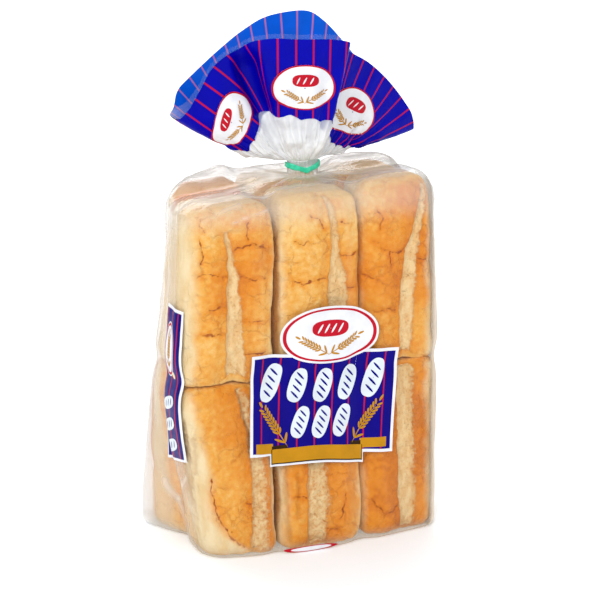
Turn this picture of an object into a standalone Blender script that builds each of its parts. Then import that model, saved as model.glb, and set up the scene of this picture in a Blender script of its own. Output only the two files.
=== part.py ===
"""A tied clear bag of twelve split-top bread rolls, standing on its flat bottom.

The bag holds three rolls across, two deep and two tiers high, each roll on end. Its film follows the outside of
the block of rolls, folds in over the top tier and is gathered to a narrow neck. A green band ties the neck. Above
the band the bag's mouth fans out into a thin, wavy, open cup.

Z is up, the front faces -Y, and the origin is on the resting face, under the middle of the block of rolls.
Every ring of points below starts at the middle of the left side and runs round by the front, so that equal
indices in two rings lie on the same line of film.
"""

import bmesh
import bpy
import numpy as np

MM = 0.001

# The block of rolls.
ROLL_WIDTH = 71.5 * MM
ROLL_DEPTH = 51 * MM
TIER_HEIGHT = 141 * MM
COLUMNS = 3
ROWS = 2
FILM_SLACK = 1.5 * MM

# The film round the block.
HALF_WIDTH = COLUMNS * ROLL_WIDTH / 2 + FILM_SLACK
HALF_DEPTH = ROWS * ROLL_DEPTH / 2 + FILM_SLACK
FRONT_LEFT_RADIUS = 20 * MM
FRONT_RIGHT_RADIUS = 15 * MM
BACK_RADIUS = 25 * MM
ROLL_VALLEY_DEPTH = 4 * MM
ROLL_VALLEY_WIDTH = 10 * MM
WAIST_DEPTH = 2.5 * MM
WAIST_WIDTH = 10 * MM
BOTTOM_ROUND = 5 * MM
BODY_HEIGHT = 266 * MM
BODY_STEPS = 20

# How the block departs from a true box.
TOP_TAPER = 5 * MM
BACK_LEFT_LEAN = 19 * MM
LEAN_START = 60 * MM
LEFT_TUCK = 16 * MM
GUSSET_FLARE = 12 * MM
GUSSET_WIDTH = 16 * MM
FRONT_BELLY = 13 * MM
BOTTOM_EASE = 125 * MM

# The folded-in shoulders.
FRONT_TOP_HEIGHT = 284 * MM
FRONT_TOP_TILT = 0.08
BACK_TOP_HEIGHT = 288 * MM
BACK_TOP_TILT = 0.05
SHOULDER_ROUND = 20 * MM
SHOULDER_STEPS = 9
PLEATS = 21
PLEAT_HEIGHT = 1.6 * MM
TOP_DIP = 4 * MM
TAUT_RISE = 6.5 * MM
TAUT_X = -41 * MM
TAUT_WIDTH = 11 * MM

# The neck and its band.
NECK_X = 10 * MM
NECK_HALF_WIDTH = 12.5 * MM
NECK_HALF_DEPTH = 8 * MM
NECK_BOTTOM = 285.5 * MM
NECK_TOP = 297 * MM
NECK_STEPS = 4
TIE_HEIGHT = 291.2 * MM
TIE_BAND = 5.4 * MM
TIE_THICKNESS = 1.3 * MM
TIE_DIP = 1.3 * MM
TIE_POINTS = 72
GAP = 0.3 * MM

# The fanned-out mouth: its rim, from the left tip by the front to the right tip, and back behind.
FRONT_RIM = (
    (-105, 6, 345), (-100, -3, 341), (-90, -12, 347), (-82, -19, 360), (-73, -22, 376),
    (-61, -20, 385), (-49, -18, 390), (-43, -28, 396), (-31, -38, 399), (-9, -42, 398),
    (14, -41, 397), (28, -40, 395), (34, -37, 393), (37, -26, 389), (43, -12, 384),
    (66, -2, 372), (87, 6, 355), (103, 13, 338), (113, 17, 324), (118, 25, 310),
)
BACK_RIM = (
    (113, 35, 322), (104, 38, 336), (88, 39, 352), (69, 39, 372), (57, 40, 386),
    (45, 41, 398), (32, 42, 406), (13, 42, 406), (-7, 41, 402), (-27, 38, 392),
    (-43, 32, 383), (-60, 26, 372), (-77, 19, 361), (-92, 13, 353),
)
FAN_STEPS = 8
FAN_SPREAD_POWER = 0.75
FAN_RISE_POWER = 1.25
FAN_PLEATS = 19
FAN_PLEAT_DEPTH = 1.4 * MM
FAN_WALL = 1.2 * MM
FAN_FLOOR = 0.14

RING_POINTS = 104

FILM_COLOUR = (0.86, 0.78, 0.66, 1.0)
TIE_COLOUR = (0.02, 0.60, 0.33, 1.0)


def ease(value, low, high):
    """0 below low, 1 above high, and a smooth rise between."""
    t = np.clip((np.asarray(value, float) - low) / (high - low), 0.0, 1.0)
    return t * t * (3.0 - 2.0 * t)


def bell(value, centre, width):
    """1 at the centre, falling off to 0 over about twice the width."""
    return np.exp(-(((np.asarray(value, float) - centre) / width) ** 2))


def even_points(outline, count):
    """Points at equal distances along a closed outline, starting at its first point."""
    closed = np.vstack([outline, outline[:1]])
    reach = np.concatenate([[0.0], np.cumsum(np.linalg.norm(np.diff(closed, axis=0), axis=1))])
    stops = np.linspace(0.0, reach[-1], count, endpoint=False)
    return np.column_stack([np.interp(stops, reach, closed[:, i]) for i in range(closed.shape[1])])


def smooth_closed(points, steps=12):
    """A closed Catmull-Rom curve through the given points."""
    p = np.asarray(points, float)
    before, after, beyond = np.roll(p, 1, 0), np.roll(p, -1, 0), np.roll(p, -2, 0)
    curve = []
    for t in np.arange(steps) / steps:
        curve.append(0.5 * (2 * p + (after - before) * t
                            + (2 * before - 5 * p + 4 * after - beyond) * t ** 2
                            + (3 * p - before - 3 * after + beyond) * t ** 3))
    return np.stack(curve, axis=1).reshape(-1, p.shape[1])


def plan_outline():
    """The rounded rectangle round the block of rolls: points and outward normals, in plan."""
    corners = []
    for sign_x, sign_y, start, radius in (
        (-1, -1, 180, FRONT_LEFT_RADIUS), (1, -1, 270, FRONT_RIGHT_RADIUS),
        (1, 1, 0, BACK_RADIUS), (-1, 1, 90, BACK_RADIUS),
    ):
        turn = np.radians(start + np.linspace(0, 90, 13))
        corners.append(np.column_stack([
            sign_x * (HALF_WIDTH - radius) + radius * np.cos(turn),
            sign_y * (HALF_DEPTH - radius) + radius * np.sin(turn),
        ]))
    outline = np.vstack([[[-HALF_WIDTH, 0.0]]] + corners)
    points = even_points(outline, RING_POINTS)
    along = np.roll(points, -1, 0) - np.roll(points, 1, 0)
    normals = np.column_stack([along[:, 1], -along[:, 0]])
    return points, normals / np.linalg.norm(normals, axis=1, keepdims=True)


def hollow_between_rolls(points, normals, height):
    """How far the film sinks in between neighbouring rolls and between the two tiers."""
    front = np.abs(normals[:, 1]) * bell(np.abs(points[:, 0]), ROLL_WIDTH / 2, ROLL_VALLEY_WIDTH)
    side = np.abs(normals[:, 0]) * bell(points[:, 1], 0.0, ROLL_VALLEY_WIDTH)
    return ROLL_VALLEY_DEPTH * (front + side) + WAIST_DEPTH * bell(height, TIER_HEIGHT, WAIST_WIDTH)


def body_ring(height):
    """The film's outline at one height of the block."""
    points, normals = plan_outline()
    x, y = points[:, 0], points[:, 1]
    inset = hollow_between_rolls(points, normals, height)
    if height < BOTTOM_ROUND:
        inset = inset + BOTTOM_ROUND - np.sqrt(BOTTOM_ROUND ** 2 - (BOTTOM_ROUND - height) ** 2)
    low = 1.0 - ease(height, 0.0, BOTTOM_EASE)
    left = ease(-x, 30 * MM, HALF_WIDTH)
    back = ease(y, -5 * MM, 45 * MM)
    front = ease(-y, 0.0, 40 * MM)
    ear = np.hypot(x + HALF_WIDTH, y - HALF_DEPTH)
    flare = GUSSET_FLARE * low * bell(ear, 0.0, GUSSET_WIDTH)
    move_x = LEFT_TUCK * left * (1.0 - back) * low
    move_x = move_x + BACK_LEFT_LEAN * left * back * ease(height, LEAN_START, BODY_HEIGHT)
    move_x = move_x - TOP_TAPER * ease(height, TIER_HEIGHT, BODY_HEIGHT) * x / HALF_WIDTH
    move_y = -FRONT_BELLY * front * low * np.cos(np.pi * x / (2 * HALF_WIDTH))
    ring_x = x - normals[:, 0] * inset + move_x - flare
    ring_y = y - normals[:, 1] * inset + move_y + flare / 2
    return np.column_stack([ring_x, ring_y, np.full(RING_POINTS, height)])


def neck_ring(height, half_width=NECK_HALF_WIDTH, half_depth=NECK_HALF_DEPTH, count=RING_POINTS):
    """An ellipse round the neck, starting at its left end and running round by the front."""
    turn = np.pi + 2 * np.pi * np.arange(count) / count
    return np.column_stack([
        NECK_X + half_width * np.cos(turn),
        half_depth * np.sin(turn),
        np.full(count, height),
    ])


def top_height(x, y):
    """The height of the top tier's upper ends: they climb to the right, and the back row stands higher."""
    back = ease(y, -ROLL_DEPTH / 2, ROLL_DEPTH / 2)
    front_top = FRONT_TOP_HEIGHT + FRONT_TOP_TILT * x
    back_top = BACK_TOP_HEIGHT + BACK_TOP_TILT * x
    return front_top + (back_top - front_top) * back


def shoulder_ring(edge, neck, fraction):
    """The film at one fraction of its way from the block's top edge in to the neck."""
    ring = edge + (neck - edge) * fraction
    reach = np.linalg.norm((neck - edge)[:, :2], axis=1) * fraction
    over_edge = np.sqrt(1.0 - (1.0 - np.minimum(reach / SHOULDER_ROUND, 1.0)) ** 2)
    between_rolls = np.maximum(
        bell(np.abs(ring[:, 0]), ROLL_WIDTH / 2, ROLL_VALLEY_WIDTH),
        bell(ring[:, 1], 0.0, ROLL_VALLEY_WIDTH),
    )
    gathered = ease(fraction, 0.45, 1.0)
    top = top_height(ring[:, 0], ring[:, 1]) - TOP_DIP * between_rolls * (1.0 - gathered)
    taut = bell(ring[:, 0], TAUT_X, TAUT_WIDTH) * ease(ring[:, 1], 5 * MM, 35 * MM)
    top = top + TAUT_RISE * taut * (1.0 - gathered)
    height = edge[:, 2] + (top - edge[:, 2]) * over_edge
    wave = np.sin(2 * np.pi * PLEATS * np.arange(RING_POINTS) / RING_POINTS)
    pleat = PLEAT_HEIGHT * wave * ease(fraction, 0.1, 0.5) * (1.0 - ease(fraction, 0.7, 0.95))
    ring[:, 2] = height + (neck[:, 2] - height) * gathered + pleat
    return ring


def fan_ring(rim, fraction):
    """The mouth's film at one fraction of its way from the neck up to the rim."""
    neck = neck_ring(NECK_TOP)
    ring = neck + (rim - neck) * fraction ** FAN_SPREAD_POWER
    ring[:, 2] = neck[:, 2] + (rim[:, 2] - neck[:, 2]) * fraction ** FAN_RISE_POWER
    turn = 2 * np.pi * np.arange(RING_POINTS) / RING_POINTS
    wave = np.sin(FAN_PLEATS * turn) * np.abs(np.sin(turn))
    ring[:, 1] += FAN_PLEAT_DEPTH * wave * 4.0 * fraction * (1.0 - fraction)
    return ring


def fan_rings():
    """The fan's outer skin from the neck to the rim, then its inner skin back down to the cup's floor."""
    rim = even_points(smooth_closed(np.array(FRONT_RIM + BACK_RIM) * MM), RING_POINTS)
    fractions = np.linspace(0.0, 1.0, FAN_STEPS + 1) ** 1.2
    outer = np.stack([fan_ring(rim, f) for f in fractions])
    inner_fractions = np.maximum(fractions[1:], FAN_FLOOR)
    skin = np.stack([fan_ring(rim, f) for f in inner_fractions])
    around = np.roll(skin, -1, 1) - np.roll(skin, 1, 1)
    upward = np.gradient(skin, axis=0)
    outward = np.cross(around, upward)
    outward /= np.linalg.norm(outward, axis=2, keepdims=True)
    wall = FAN_WALL * (1.0 + inner_fractions) / 2
    inner = skin - outward * wall[:, None, None]
    return list(outer[1:]) + list(inner[::-1])


def bag_rings():
    """Every ring of the bag, from the resting face up to the rim and down inside the mouth."""
    low = [0.0, 0.3 * BOTTOM_ROUND, BOTTOM_ROUND]
    levels = low + list(np.linspace(BOTTOM_ROUND, BODY_HEIGHT, BODY_STEPS + 1)[1:])
    rings = [body_ring(level) for level in levels]
    edge, neck = rings[-1], neck_ring(NECK_BOTTOM)
    fractions = (np.arange(1, SHOULDER_STEPS + 1) / SHOULDER_STEPS) ** 1.7
    rings += [shoulder_ring(edge, neck, f) for f in fractions]
    rings += [neck_ring(z) for z in np.linspace(NECK_BOTTOM, NECK_TOP, NECK_STEPS + 1)[1:]]
    return rings + fan_rings()


def tie_rings():
    """The band's four edges as rings: it dips at the front, where its two ends are pulled together."""
    inner = neck_ring(TIE_HEIGHT, NECK_HALF_WIDTH + GAP, NECK_HALF_DEPTH + GAP, TIE_POINTS)
    outer = neck_ring(
        TIE_HEIGHT, NECK_HALF_WIDTH + GAP + TIE_THICKNESS, NECK_HALF_DEPTH + GAP + TIE_THICKNESS, TIE_POINTS
    )
    middle = (inner + outer) / 2
    rise = TIE_DIP * (np.abs(middle[:, 0] - NECK_X) / NECK_HALF_WIDTH * 2 - 1)
    rings = []
    for ring, side in ((inner, -1), (middle, -1.15), (outer, -1), (outer, 1), (middle, 1.15), (inner, 1)):
        edge = ring.copy()
        edge[:, 2] += rise + side * TIE_BAND / 2
        rings.append(edge)
    return rings


def material(name, colour, roughness):
    """A plain plastic finish."""
    finish = bpy.data.materials.new(name)
    finish.use_nodes = True
    shader = finish.node_tree.nodes["Principled BSDF"]
    shader.inputs["Base Color"].default_value = colour
    shader.inputs["Roughness"].default_value = roughness
    shader.inputs["Metallic"].default_value = 0.0
    return finish


def join_rings(mesh, lower, upper):
    """A band of quads between two rings of vertices, facing out when the rings climb."""
    count = len(lower)
    for i in range(count):
        j = (i + 1) % count
        mesh.faces.new((lower[i], lower[j], upper[j], upper[i]))


def close_floor(mesh, ring):
    """Closes the cup's floor with strips that run across from the front film to the back film."""
    for i in range(len(ring) // 2):
        corners = (ring[i], ring[i + 1], ring[-i - 1], ring[-i])
        mesh.faces.new(list(dict.fromkeys(corners)))


def new_object(name, mesh, finish):
    """Turns a bmesh into a named, smooth-shaded object."""
    data = bpy.data.meshes.new(name)
    bmesh.ops.triangulate(mesh, faces=[f for f in mesh.faces if len(f.verts) == 4])
    mesh.to_mesh(data)
    mesh.free()
    data.materials.append(finish)
    data.shade_smooth()
    data.set_sharp_from_angle(angle=np.radians(50))
    thing = bpy.data.objects.new(name, data)
    bpy.context.scene.collection.objects.link(thing)
    return thing


def make_bag():
    """The filled bag with its open, fanned mouth, as one closed body."""
    mesh = bmesh.new()
    rings = [[mesh.verts.new(p) for p in ring] for ring in bag_rings()]
    mesh.faces.new(rings[0][::-1])
    for lower, upper in zip(rings, rings[1:]):
        join_rings(mesh, lower, upper)
    close_floor(mesh, rings[-1])
    return new_object("bag", mesh, material("film", FILM_COLOUR, 0.25))


def make_tie():
    """The band round the neck."""
    mesh = bmesh.new()
    rings = [[mesh.verts.new(p) for p in ring] for ring in tie_rings()]
    for lower, upper in zip(rings, rings[1:] + rings[:1]):
        join_rings(mesh, lower, upper)
    return new_object("tie", mesh, material("tie", TIE_COLOUR, 0.4))


def main():
    for thing in list(bpy.data.objects):
        bpy.data.objects.remove(thing)
    make_bag()
    make_tie()


main()
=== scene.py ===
"""The looks of a tied clear bag of twelve split-top bread rolls, standing on its flat bottom.

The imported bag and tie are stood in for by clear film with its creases, twelve modelled rolls, the printed
mouth, the labels and the tie. Z is up, the front faces -Y, and the origin is on the resting face, under the
middle of the block of rolls. Sizes are in metres, or in millimetres where a note says so. The film's rings of
points start at the middle of the left side and run round by the front, so equal indices in two rings lie on
the same line of film.
"""

from dataclasses import dataclass

import bpy
import numpy as np
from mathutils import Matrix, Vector
from mathutils.bvhtree import BVHTree


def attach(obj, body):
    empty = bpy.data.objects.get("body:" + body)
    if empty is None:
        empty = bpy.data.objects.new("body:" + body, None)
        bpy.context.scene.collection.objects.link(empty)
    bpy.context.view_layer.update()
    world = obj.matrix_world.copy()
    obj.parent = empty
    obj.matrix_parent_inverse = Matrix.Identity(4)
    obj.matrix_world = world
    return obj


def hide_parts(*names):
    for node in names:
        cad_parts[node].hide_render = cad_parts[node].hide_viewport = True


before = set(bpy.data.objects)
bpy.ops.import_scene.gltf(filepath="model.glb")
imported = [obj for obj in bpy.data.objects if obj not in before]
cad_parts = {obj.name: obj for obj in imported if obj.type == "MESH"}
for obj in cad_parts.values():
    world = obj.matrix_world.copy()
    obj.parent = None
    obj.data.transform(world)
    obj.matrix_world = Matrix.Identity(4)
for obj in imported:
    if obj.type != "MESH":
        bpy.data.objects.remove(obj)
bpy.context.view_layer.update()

MM = 0.001
FAR_OFF = 1.0

# The block of rolls.
ROLL_WIDTH = 71.5 * MM
ROLL_DEPTH = 51 * MM
TIER_HEIGHT = 141 * MM
COLUMNS = 3
ROWS = 2
FILM_SLACK = 1.5 * MM

# The film round the block.
HALF_WIDTH = COLUMNS * ROLL_WIDTH / 2 + FILM_SLACK
HALF_DEPTH = ROWS * ROLL_DEPTH / 2 + FILM_SLACK
FRONT_LEFT_RADIUS = 20 * MM
FRONT_RIGHT_RADIUS = 15 * MM
BACK_RADIUS = 25 * MM
ROLL_VALLEY_DEPTH = 4 * MM
ROLL_VALLEY_WIDTH = 10 * MM
WAIST_DEPTH = 2.5 * MM
WAIST_WIDTH = 10 * MM
BOTTOM_ROUND = 5 * MM
BODY_HEIGHT = 266 * MM

# How the block departs from a true box.
TOP_TAPER = 5 * MM
BACK_LEFT_LEAN = 19 * MM
LEAN_START = 60 * MM
LEFT_TUCK = 16 * MM
GUSSET_FLARE = 12 * MM
GUSSET_WIDTH = 16 * MM
FRONT_BELLY = 13 * MM
BOTTOM_EASE = 125 * MM

# The folded-in shoulders.
FRONT_TOP_HEIGHT = 284 * MM
FRONT_TOP_TILT = 0.08
BACK_TOP_HEIGHT = 288 * MM
BACK_TOP_TILT = 0.05
SHOULDER_ROUND = 20 * MM
TOP_DIP = 4 * MM
TAUT_RISE = 6.5 * MM
TAUT_X = -41 * MM
TAUT_WIDTH = 11 * MM

# The neck and its band.
NECK_X = 10 * MM
NECK_HALF_WIDTH = 12.5 * MM
NECK_HALF_DEPTH = 8 * MM
NECK_BOTTOM = 285.5 * MM
NECK_TOP = 297 * MM
TIE_HEIGHT = 291.2 * MM
TIE_THICKNESS = 1.3 * MM
TIE_WIDTH = 4.2 * MM
TIE_SLANT = 1.9 * MM
GAP = 0.3 * MM
TIE_POINTS = 360
# The band's outline, as (share of its thickness, share of its width).
TIE_PROFILE = (
    (0, -0.46), (0.25, -0.5), (0.7, -0.49), (0.95, -0.42), (1.0, -0.2), (0.86, 0.0),
    (1.0, 0.2), (0.95, 0.42), (0.7, 0.49), (0.25, 0.5), (0, 0.46), (0.05, 0.0),
)

# The fanned-out mouth: its rim, from the left tip by the front to the right tip, and back behind.
FRONT_RIM = (
    (-105, 6, 345), (-100, -3, 341), (-90, -12, 347), (-82, -19, 360), (-73, -22, 376),
    (-61, -20, 385), (-49, -18, 390), (-43, -28, 396), (-31, -38, 399), (-9, -42, 398),
    (14, -41, 397), (28, -40, 395), (34, -37, 393), (37, -26, 389), (43, -12, 384),
    (66, -2, 372), (87, 6, 355), (103, 13, 338), (113, 17, 324), (118, 25, 310),
)
BACK_RIM = (
    (113, 35, 322), (104, 38, 336), (88, 39, 352), (69, 39, 372), (57, 40, 386),
    (45, 41, 398), (32, 42, 406), (13, 42, 406), (-7, 41, 402), (-27, 38, 392),
    (-43, 32, 383), (-60, 26, 372), (-77, 19, 361), (-92, 13, 353),
)
FAN_SPREAD_POWER = 0.75
FAN_RISE_POWER = 1.25
FAN_PLEATS = 19
FAN_PLEAT_DEPTH = 1.4 * MM

# How finely the film is divided.
FILM_POINTS = 480
BASE_STEPS = 5
BODY_STEPS = 112
SHOULDER_STEPS = 44
NECK_STEPS = 10
FAN_POINTS = 640
FAN_STEPS = 60

# The film's creases.
SHOULDER_PLEATS = 38
SHOULDER_PLEAT_DEPTH = 0.8 * MM
NECK_PLEAT_DEPTH = 1.6 * MM
SLACK_FOLD_DEPTH = 0.7 * MM
CRUMPLE_DEPTH = 0.45 * MM
TIGHT_CREASE_HEIGHT = 0.6 * MM

# How milky the film is, from 0 to 1, at its places.
CLEAR_CLOUD = 0.004
SIDE_CLOUD = 0.26
RIGHT_CLOUD = 0.85
CORNER_CLOUD = 0.30
TOP_CLOUD = 0.21
SHOULDER_CLOUD = 0.04
BACK_CLOUD = 0.36
BASE_CLOUD = 0.30
NECK_CLOUD = 0.28
# On sharp creases: partly whitened film, partly a painted highlight along their crests.
PLEAT_CLOUD_AND_HIGHLIGHT = 0.10
MOST_CLOUD = 0.95

# Whitened creases, as (places in millimetres, width in millimetres, strength). Those on the shoulders,
# running from the tie, are partly a painted highlight.
GUSSET_CREASES = (
    (((-101, 16, 43), (-100.4, 15.3, 40), (-93.3, 4.8, 30.1), (-89.3, -2, 9.2)), 3.6, 0.40),
    (((-100.1, -33.3, 62.4), (-97, -12, 46), (-94, 5, 31)), 1.8, 0.34),
)
SHOULDER_HIGHLIGHT_CREASES = (
    (((-12, -6, 286), (-26, -8, 284), (-47, -15, 281), (-70, -22, 279), (-95, -25, 274)), 4.0, 0.20),
    (((-39, -50, 270), (-54, -52, 267), (-67, -53, 263)), 1.3, 0.20),
    (((-60, -49, 276), (-72, -50, 273), (-88, -50, 266)), 2.2, 0.16),
    (((14, -22, 285), (31, -34, 283), (56, -40, 284)), 3.0, 0.12),
)

# The print on the mouth.
FRONT_LIP = 3.2 * MM
BACK_LIP = 0.5 * MM
TIP_LIP = 15 * MM
BACK_MARGIN = 3.5 * MM
TIP_MARGIN = 8 * MM
FRONT_PRINT_BAND = 64 * MM
FOLD_PRINT_BAND = 58 * MM
WING_PRINT_BAND = 74 * MM
PRINT_SCALLOP = 2.5 * MM
PRINT_ROWS = 36
STRIPE_SPACING = 14 * MM
STRIPE_WIDTH = 1.45 * MM
INK_LIFT = 0.4 * MM
LEFT_WING_ALONG = (0.58, 0.0, 0.81)
LEFT_WING_PHASE = 6 * MM
FRONT_PANEL_ALONG = (0.925, -0.381, 0.0)
RIGHT_WING_ALONG = (0.67, 0.33, -0.66)
WING_FOLD_X = -50 * MM
WING_FOLD_DEPTH = 11 * MM

# The labels: corners from lower left by lower right to upper left, across and up, and sizes, in millimetres.
FRONT_LABEL = ((-56, 80), (63.4, 69.6), (69.9, 153.1), (-52.6, 158.9))
FRONT_LABEL_SIZE = (121.0, 82.0)
SIDE_LABEL = ((-7, 66), (42.5, 78), (44, 197), (20, 199))
SIDE_LABEL_SIZE = (35.0, 126.0)
LAYER = 0.08 * MM
RAY_START = 300 * MM
BADGE_POWER = 2.15
BADGE_LIFT = 0.3 * MM
BASE_BADGE = (-9 * MM, 2.6 * MM)
MOUTH_BADGES = (
    ("mouth_badge_front", (-1.3, -32.7, 356.9), 0, 1.0),
    ("mouth_badge_left", (-54.0, -16.5, 331.5), 30, 0.86),
    ("mouth_badge_right", (50.4, -3.0, 331.3), 0, 1.0),
)

# The inks, as (colour, material, look on a screen, slot).
INKS = (
    ("white", "white_ink", (232, 233, 238), "print_white"),
    ("paper", "pale_ink", (220, 228, 234), "print_white"),
    ("navy", "navy_ink", (16, 6, 126), "print_blue"),
    ("dark", "dark_navy_ink", (8, 3, 112), "print_blue"),
    ("red", "red_ink", (188, 22, 42), "print_red"),
    ("gold", "gold_ink", (190, 134, 26), "print_gold"),
    ("brown", "brown_ink", (52, 34, 14), "print_gold"),
)

# One bread roll. A grid is the points round it, the rows along it, and how much finer its crust is.
FRONT_ROLL_GRID = (172, 172, 4.0)
BACK_ROLL_GRID = (104, 100, 2.5)
PROFILE_POINTS = 4001
ROLL_GAP = 0.5 * MM
CREST_CLEARANCE = 1.6 * MM
CROWN = 28 * MM
FRONT_CROWN_POWER = 4.2
BACK_CROWN_POWER = 4.0
CROWN_TILT = 1.2 * MM
FILM_CLEARANCE = 1.1 * MM
TOP_CLEARANCE = 4.5 * MM
BASE_POWER = 4.5
TIER_END_POWER = 14.0
TOP_END_POWER = 7.0
BACK_END_POWER = 9.0
GROUND_END_POWER = 12.0
SPLIT_DEPTH = 2.8 * MM
SPLIT_WALL = 2.2 * MM
LIP_RISE = 0.4 * MM
LOBE_RISE = 2.8 * MM
CRACK_DEPTH = 0.8 * MM
CRACK_WIDTH = 0.8 * MM
CRACK_SHAKE = 1.4 * MM
VALLEY_DEPTH = 0.7 * MM
VALLEY_WIDTH = 3.2 * MM
FOLD_DEPTH = 1.6 * MM
FOLD_WIDTH = 1.8 * MM
END_NOTCH = 6.0 * MM
END_NOTCH_WIDTH = 7 * MM
RIGHT_LIP_SOFTNESS = 0.45
LEAST_GROUND_GAP = 0.4 * MM

# The photograph's camera.
CAMERA_TARGET = Vector((8.1 * MM, 0.0, 184.4 * MM))
CAMERA_AZIMUTH = np.radians(-22.4)
CAMERA_ELEVATION = np.radians(14.8)
CAMERA_DISTANCE = 1.492
CAMERA_LENS = 113.8
CAMERA_SENSOR = 36.0
FLOOR_REACH = 14.0


# ---- small tools

def ease(value, low, high):
    """0 below low, 1 above high, and a smooth rise between."""
    t = np.clip((np.asarray(value, float) - low) / (high - low), 0.0, 1.0)
    return t * t * (3.0 - 2.0 * t)


def rise(value, low, high):
    """As ease, for a value in metres, with low and high in millimetres."""
    return ease(value, low * MM, high * MM)


def bell(value, centre, width):
    """1 at the centre, falling off to 0 over about twice the width."""
    return np.exp(-(((np.asarray(value, float) - centre) / width) ** 2))


def corner_value(cell, seed):
    """A fixed value between -1 and 1 for each corner of a cubic lattice."""
    n = cell[..., 0] * 374761393 + cell[..., 1] * 668265263 + cell[..., 2] * 1274126177 + seed * 144269
    n = n & 0x7FFFFFFF
    n = ((n ^ (n >> 13)) * 1103515245) & 0x7FFFFFFF
    n = n ^ (n >> 16)
    n = (n * 69069 + 12345) & 0x7FFFFFFF
    return n / 0x3FFFFFFF - 1.0


def noise(points, size, seed=0):
    """Smooth noise between -1 and 1, with lumps of about the given size: one number or one for each axis."""
    place = np.asarray(points, float) / np.asarray(size, float)
    cell = np.floor(place).astype(np.int64)
    part = place - cell
    part = part * part * (3.0 - 2.0 * part)
    total = 0.0
    for corner in np.ndindex(2, 2, 2):
        weight = np.prod(np.where(corner, part, 1.0 - part), axis=-1)
        total = total + weight * corner_value(cell + np.array(corner), seed)
    return total


def layered_noise(points, size, seed=0, layers=3):
    """Noise with ever finer and weaker layers."""
    total = 0.0
    for layer in range(layers):
        total = total + noise(points, np.asarray(size, float) / 2 ** layer, seed + 17 * layer) / 2 ** layer
    return total


def ridges(points, size, seed=0):
    """Noise folded into sharp creases: 1 on a crease, falling to about 0 between."""
    return 1.0 - np.minimum(np.abs(noise(points, size, seed)) * 2.2, 1.0)


def rounded(value, power):
    """A sine or cosine raised to a power, keeping its sign: the sides of a rounded box."""
    return np.sign(value) * np.abs(value) ** power


def at_shares(line, steps, shares):
    """Points at shares of a line's length, where steps are the lengths between the line's own points."""
    reach = np.concatenate([[0.0], np.cumsum(steps)])
    return np.column_stack([np.interp(shares * reach[-1], reach, values) for values in np.transpose(line)])


def even_points(outline, count):
    """Points at equal distances along a closed outline, starting at its first point."""
    closed = np.vstack([outline, outline[:1]])
    return at_shares(closed, np.linalg.norm(np.diff(closed, axis=0), axis=1), np.arange(count) / count)


def smooth_closed(points, steps=24):
    """A closed Catmull-Rom curve through the given points."""
    p = np.asarray(points, float)
    before, after, beyond = np.roll(p, 1, 0), np.roll(p, -1, 0), np.roll(p, -2, 0)
    curve = []
    for t in np.arange(steps) / steps:
        curve.append(0.5 * (2 * p + (after - before) * t
                            + (2 * before - 5 * p + 4 * after - beyond) * t ** 2
                            + (3 * p - before - 3 * after + beyond) * t ** 3))
    return np.stack(curve, axis=1).reshape(-1, p.shape[1])


def turns(count):
    """Evenly spaced angles round a ring."""
    return 2 * np.pi * np.arange(count) / count


def round_and_up(turn, cycles, up):
    """Noise coordinates that close on themselves round a ring: about `cycles` lumps fit round it."""
    radius = cycles / (2 * np.pi)
    turn, up = np.broadcast_arrays(turn, up)
    return np.stack([radius * np.cos(turn), radius * np.sin(turn), up], axis=-1)


def grid_normals(grid, closed=True):
    """Unit normals of a grid of points (rows climb, columns run anticlockwise seen from above)."""
    if closed:
        around = np.roll(grid, -1, 1) - np.roll(grid, 1, 1)
    else:
        around = np.gradient(grid, axis=1)
    normal = np.cross(around, np.gradient(grid, axis=0))
    return normal / np.maximum(np.linalg.norm(normal, axis=-1, keepdims=True), 1e-12)


def grid_faces(rows, columns, closed=True):
    """Quads between the rows of a grid of vertices."""
    spans = columns if closed else columns - 1
    row, column = np.meshgrid(np.arange(rows - 1), np.arange(spans), indexing="ij")
    beside = (column + 1) % columns
    quads = np.stack([row * columns + column, row * columns + beside,
                      (row + 1) * columns + beside, (row + 1) * columns + column], axis=-1)
    return quads.reshape(-1, 4)


def between(low_left, low_right, top_right, top_left, s, t):
    """A value or point inside four corners: s is the share across, and t the share up."""
    return (low_left * (1 - s) + low_right * s) * (1 - t) + (top_left * (1 - s) + top_right * s) * t


def distance_to_path(points, line):
    """The distance of each point from a line of straight pieces, whose own points are in millimetres."""
    line = np.array(line, float) * MM
    nearest = np.full(points.shape[:-1], FAR_OFF)
    for start, end in zip(line, line[1:]):
        along = end - start
        part = np.clip((points - start) @ along / (along @ along), 0.0, 1.0)
        gap = np.linalg.norm(points - start - part[..., None] * along, axis=-1)
        nearest = np.minimum(nearest, gap)
    return nearest


def distance_to_paths(points, lines):
    """The distance of each point from the nearest of several such lines."""
    nearest = np.full(points.shape[:-1], FAR_OFF)
    for line in lines:
        nearest = np.minimum(nearest, distance_to_path(points, line))
    return nearest


# ---- objects

def link(name, data):
    """A new object in the scene."""
    thing = bpy.data.objects.new(name, data)
    bpy.context.scene.collection.objects.link(thing)
    return thing


def new_piece(name, points, faces, finish, slot, looks=None, sharp=None):
    """A named mesh object that rides on the part. looks holds what its material reads at each point."""
    mesh = bpy.data.meshes.new(name)
    mesh.from_pydata(np.asarray(points).reshape(-1, 3).tolist(), [], [list(face) for face in faces])
    for key, values in (looks or {}).items():
        layer = mesh.attributes.new(key, "FLOAT", "POINT")
        layer.data.foreach_set("value", np.asarray(values, np.float32).ravel())
    mesh.materials.append(finish)
    mesh.validate()
    mesh.shade_smooth()
    if sharp is not None:
        mesh.set_sharp_from_angle(angle=np.radians(sharp))
    piece = link(name, mesh)
    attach(piece, "root")
    return piece


# ---- film

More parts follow.
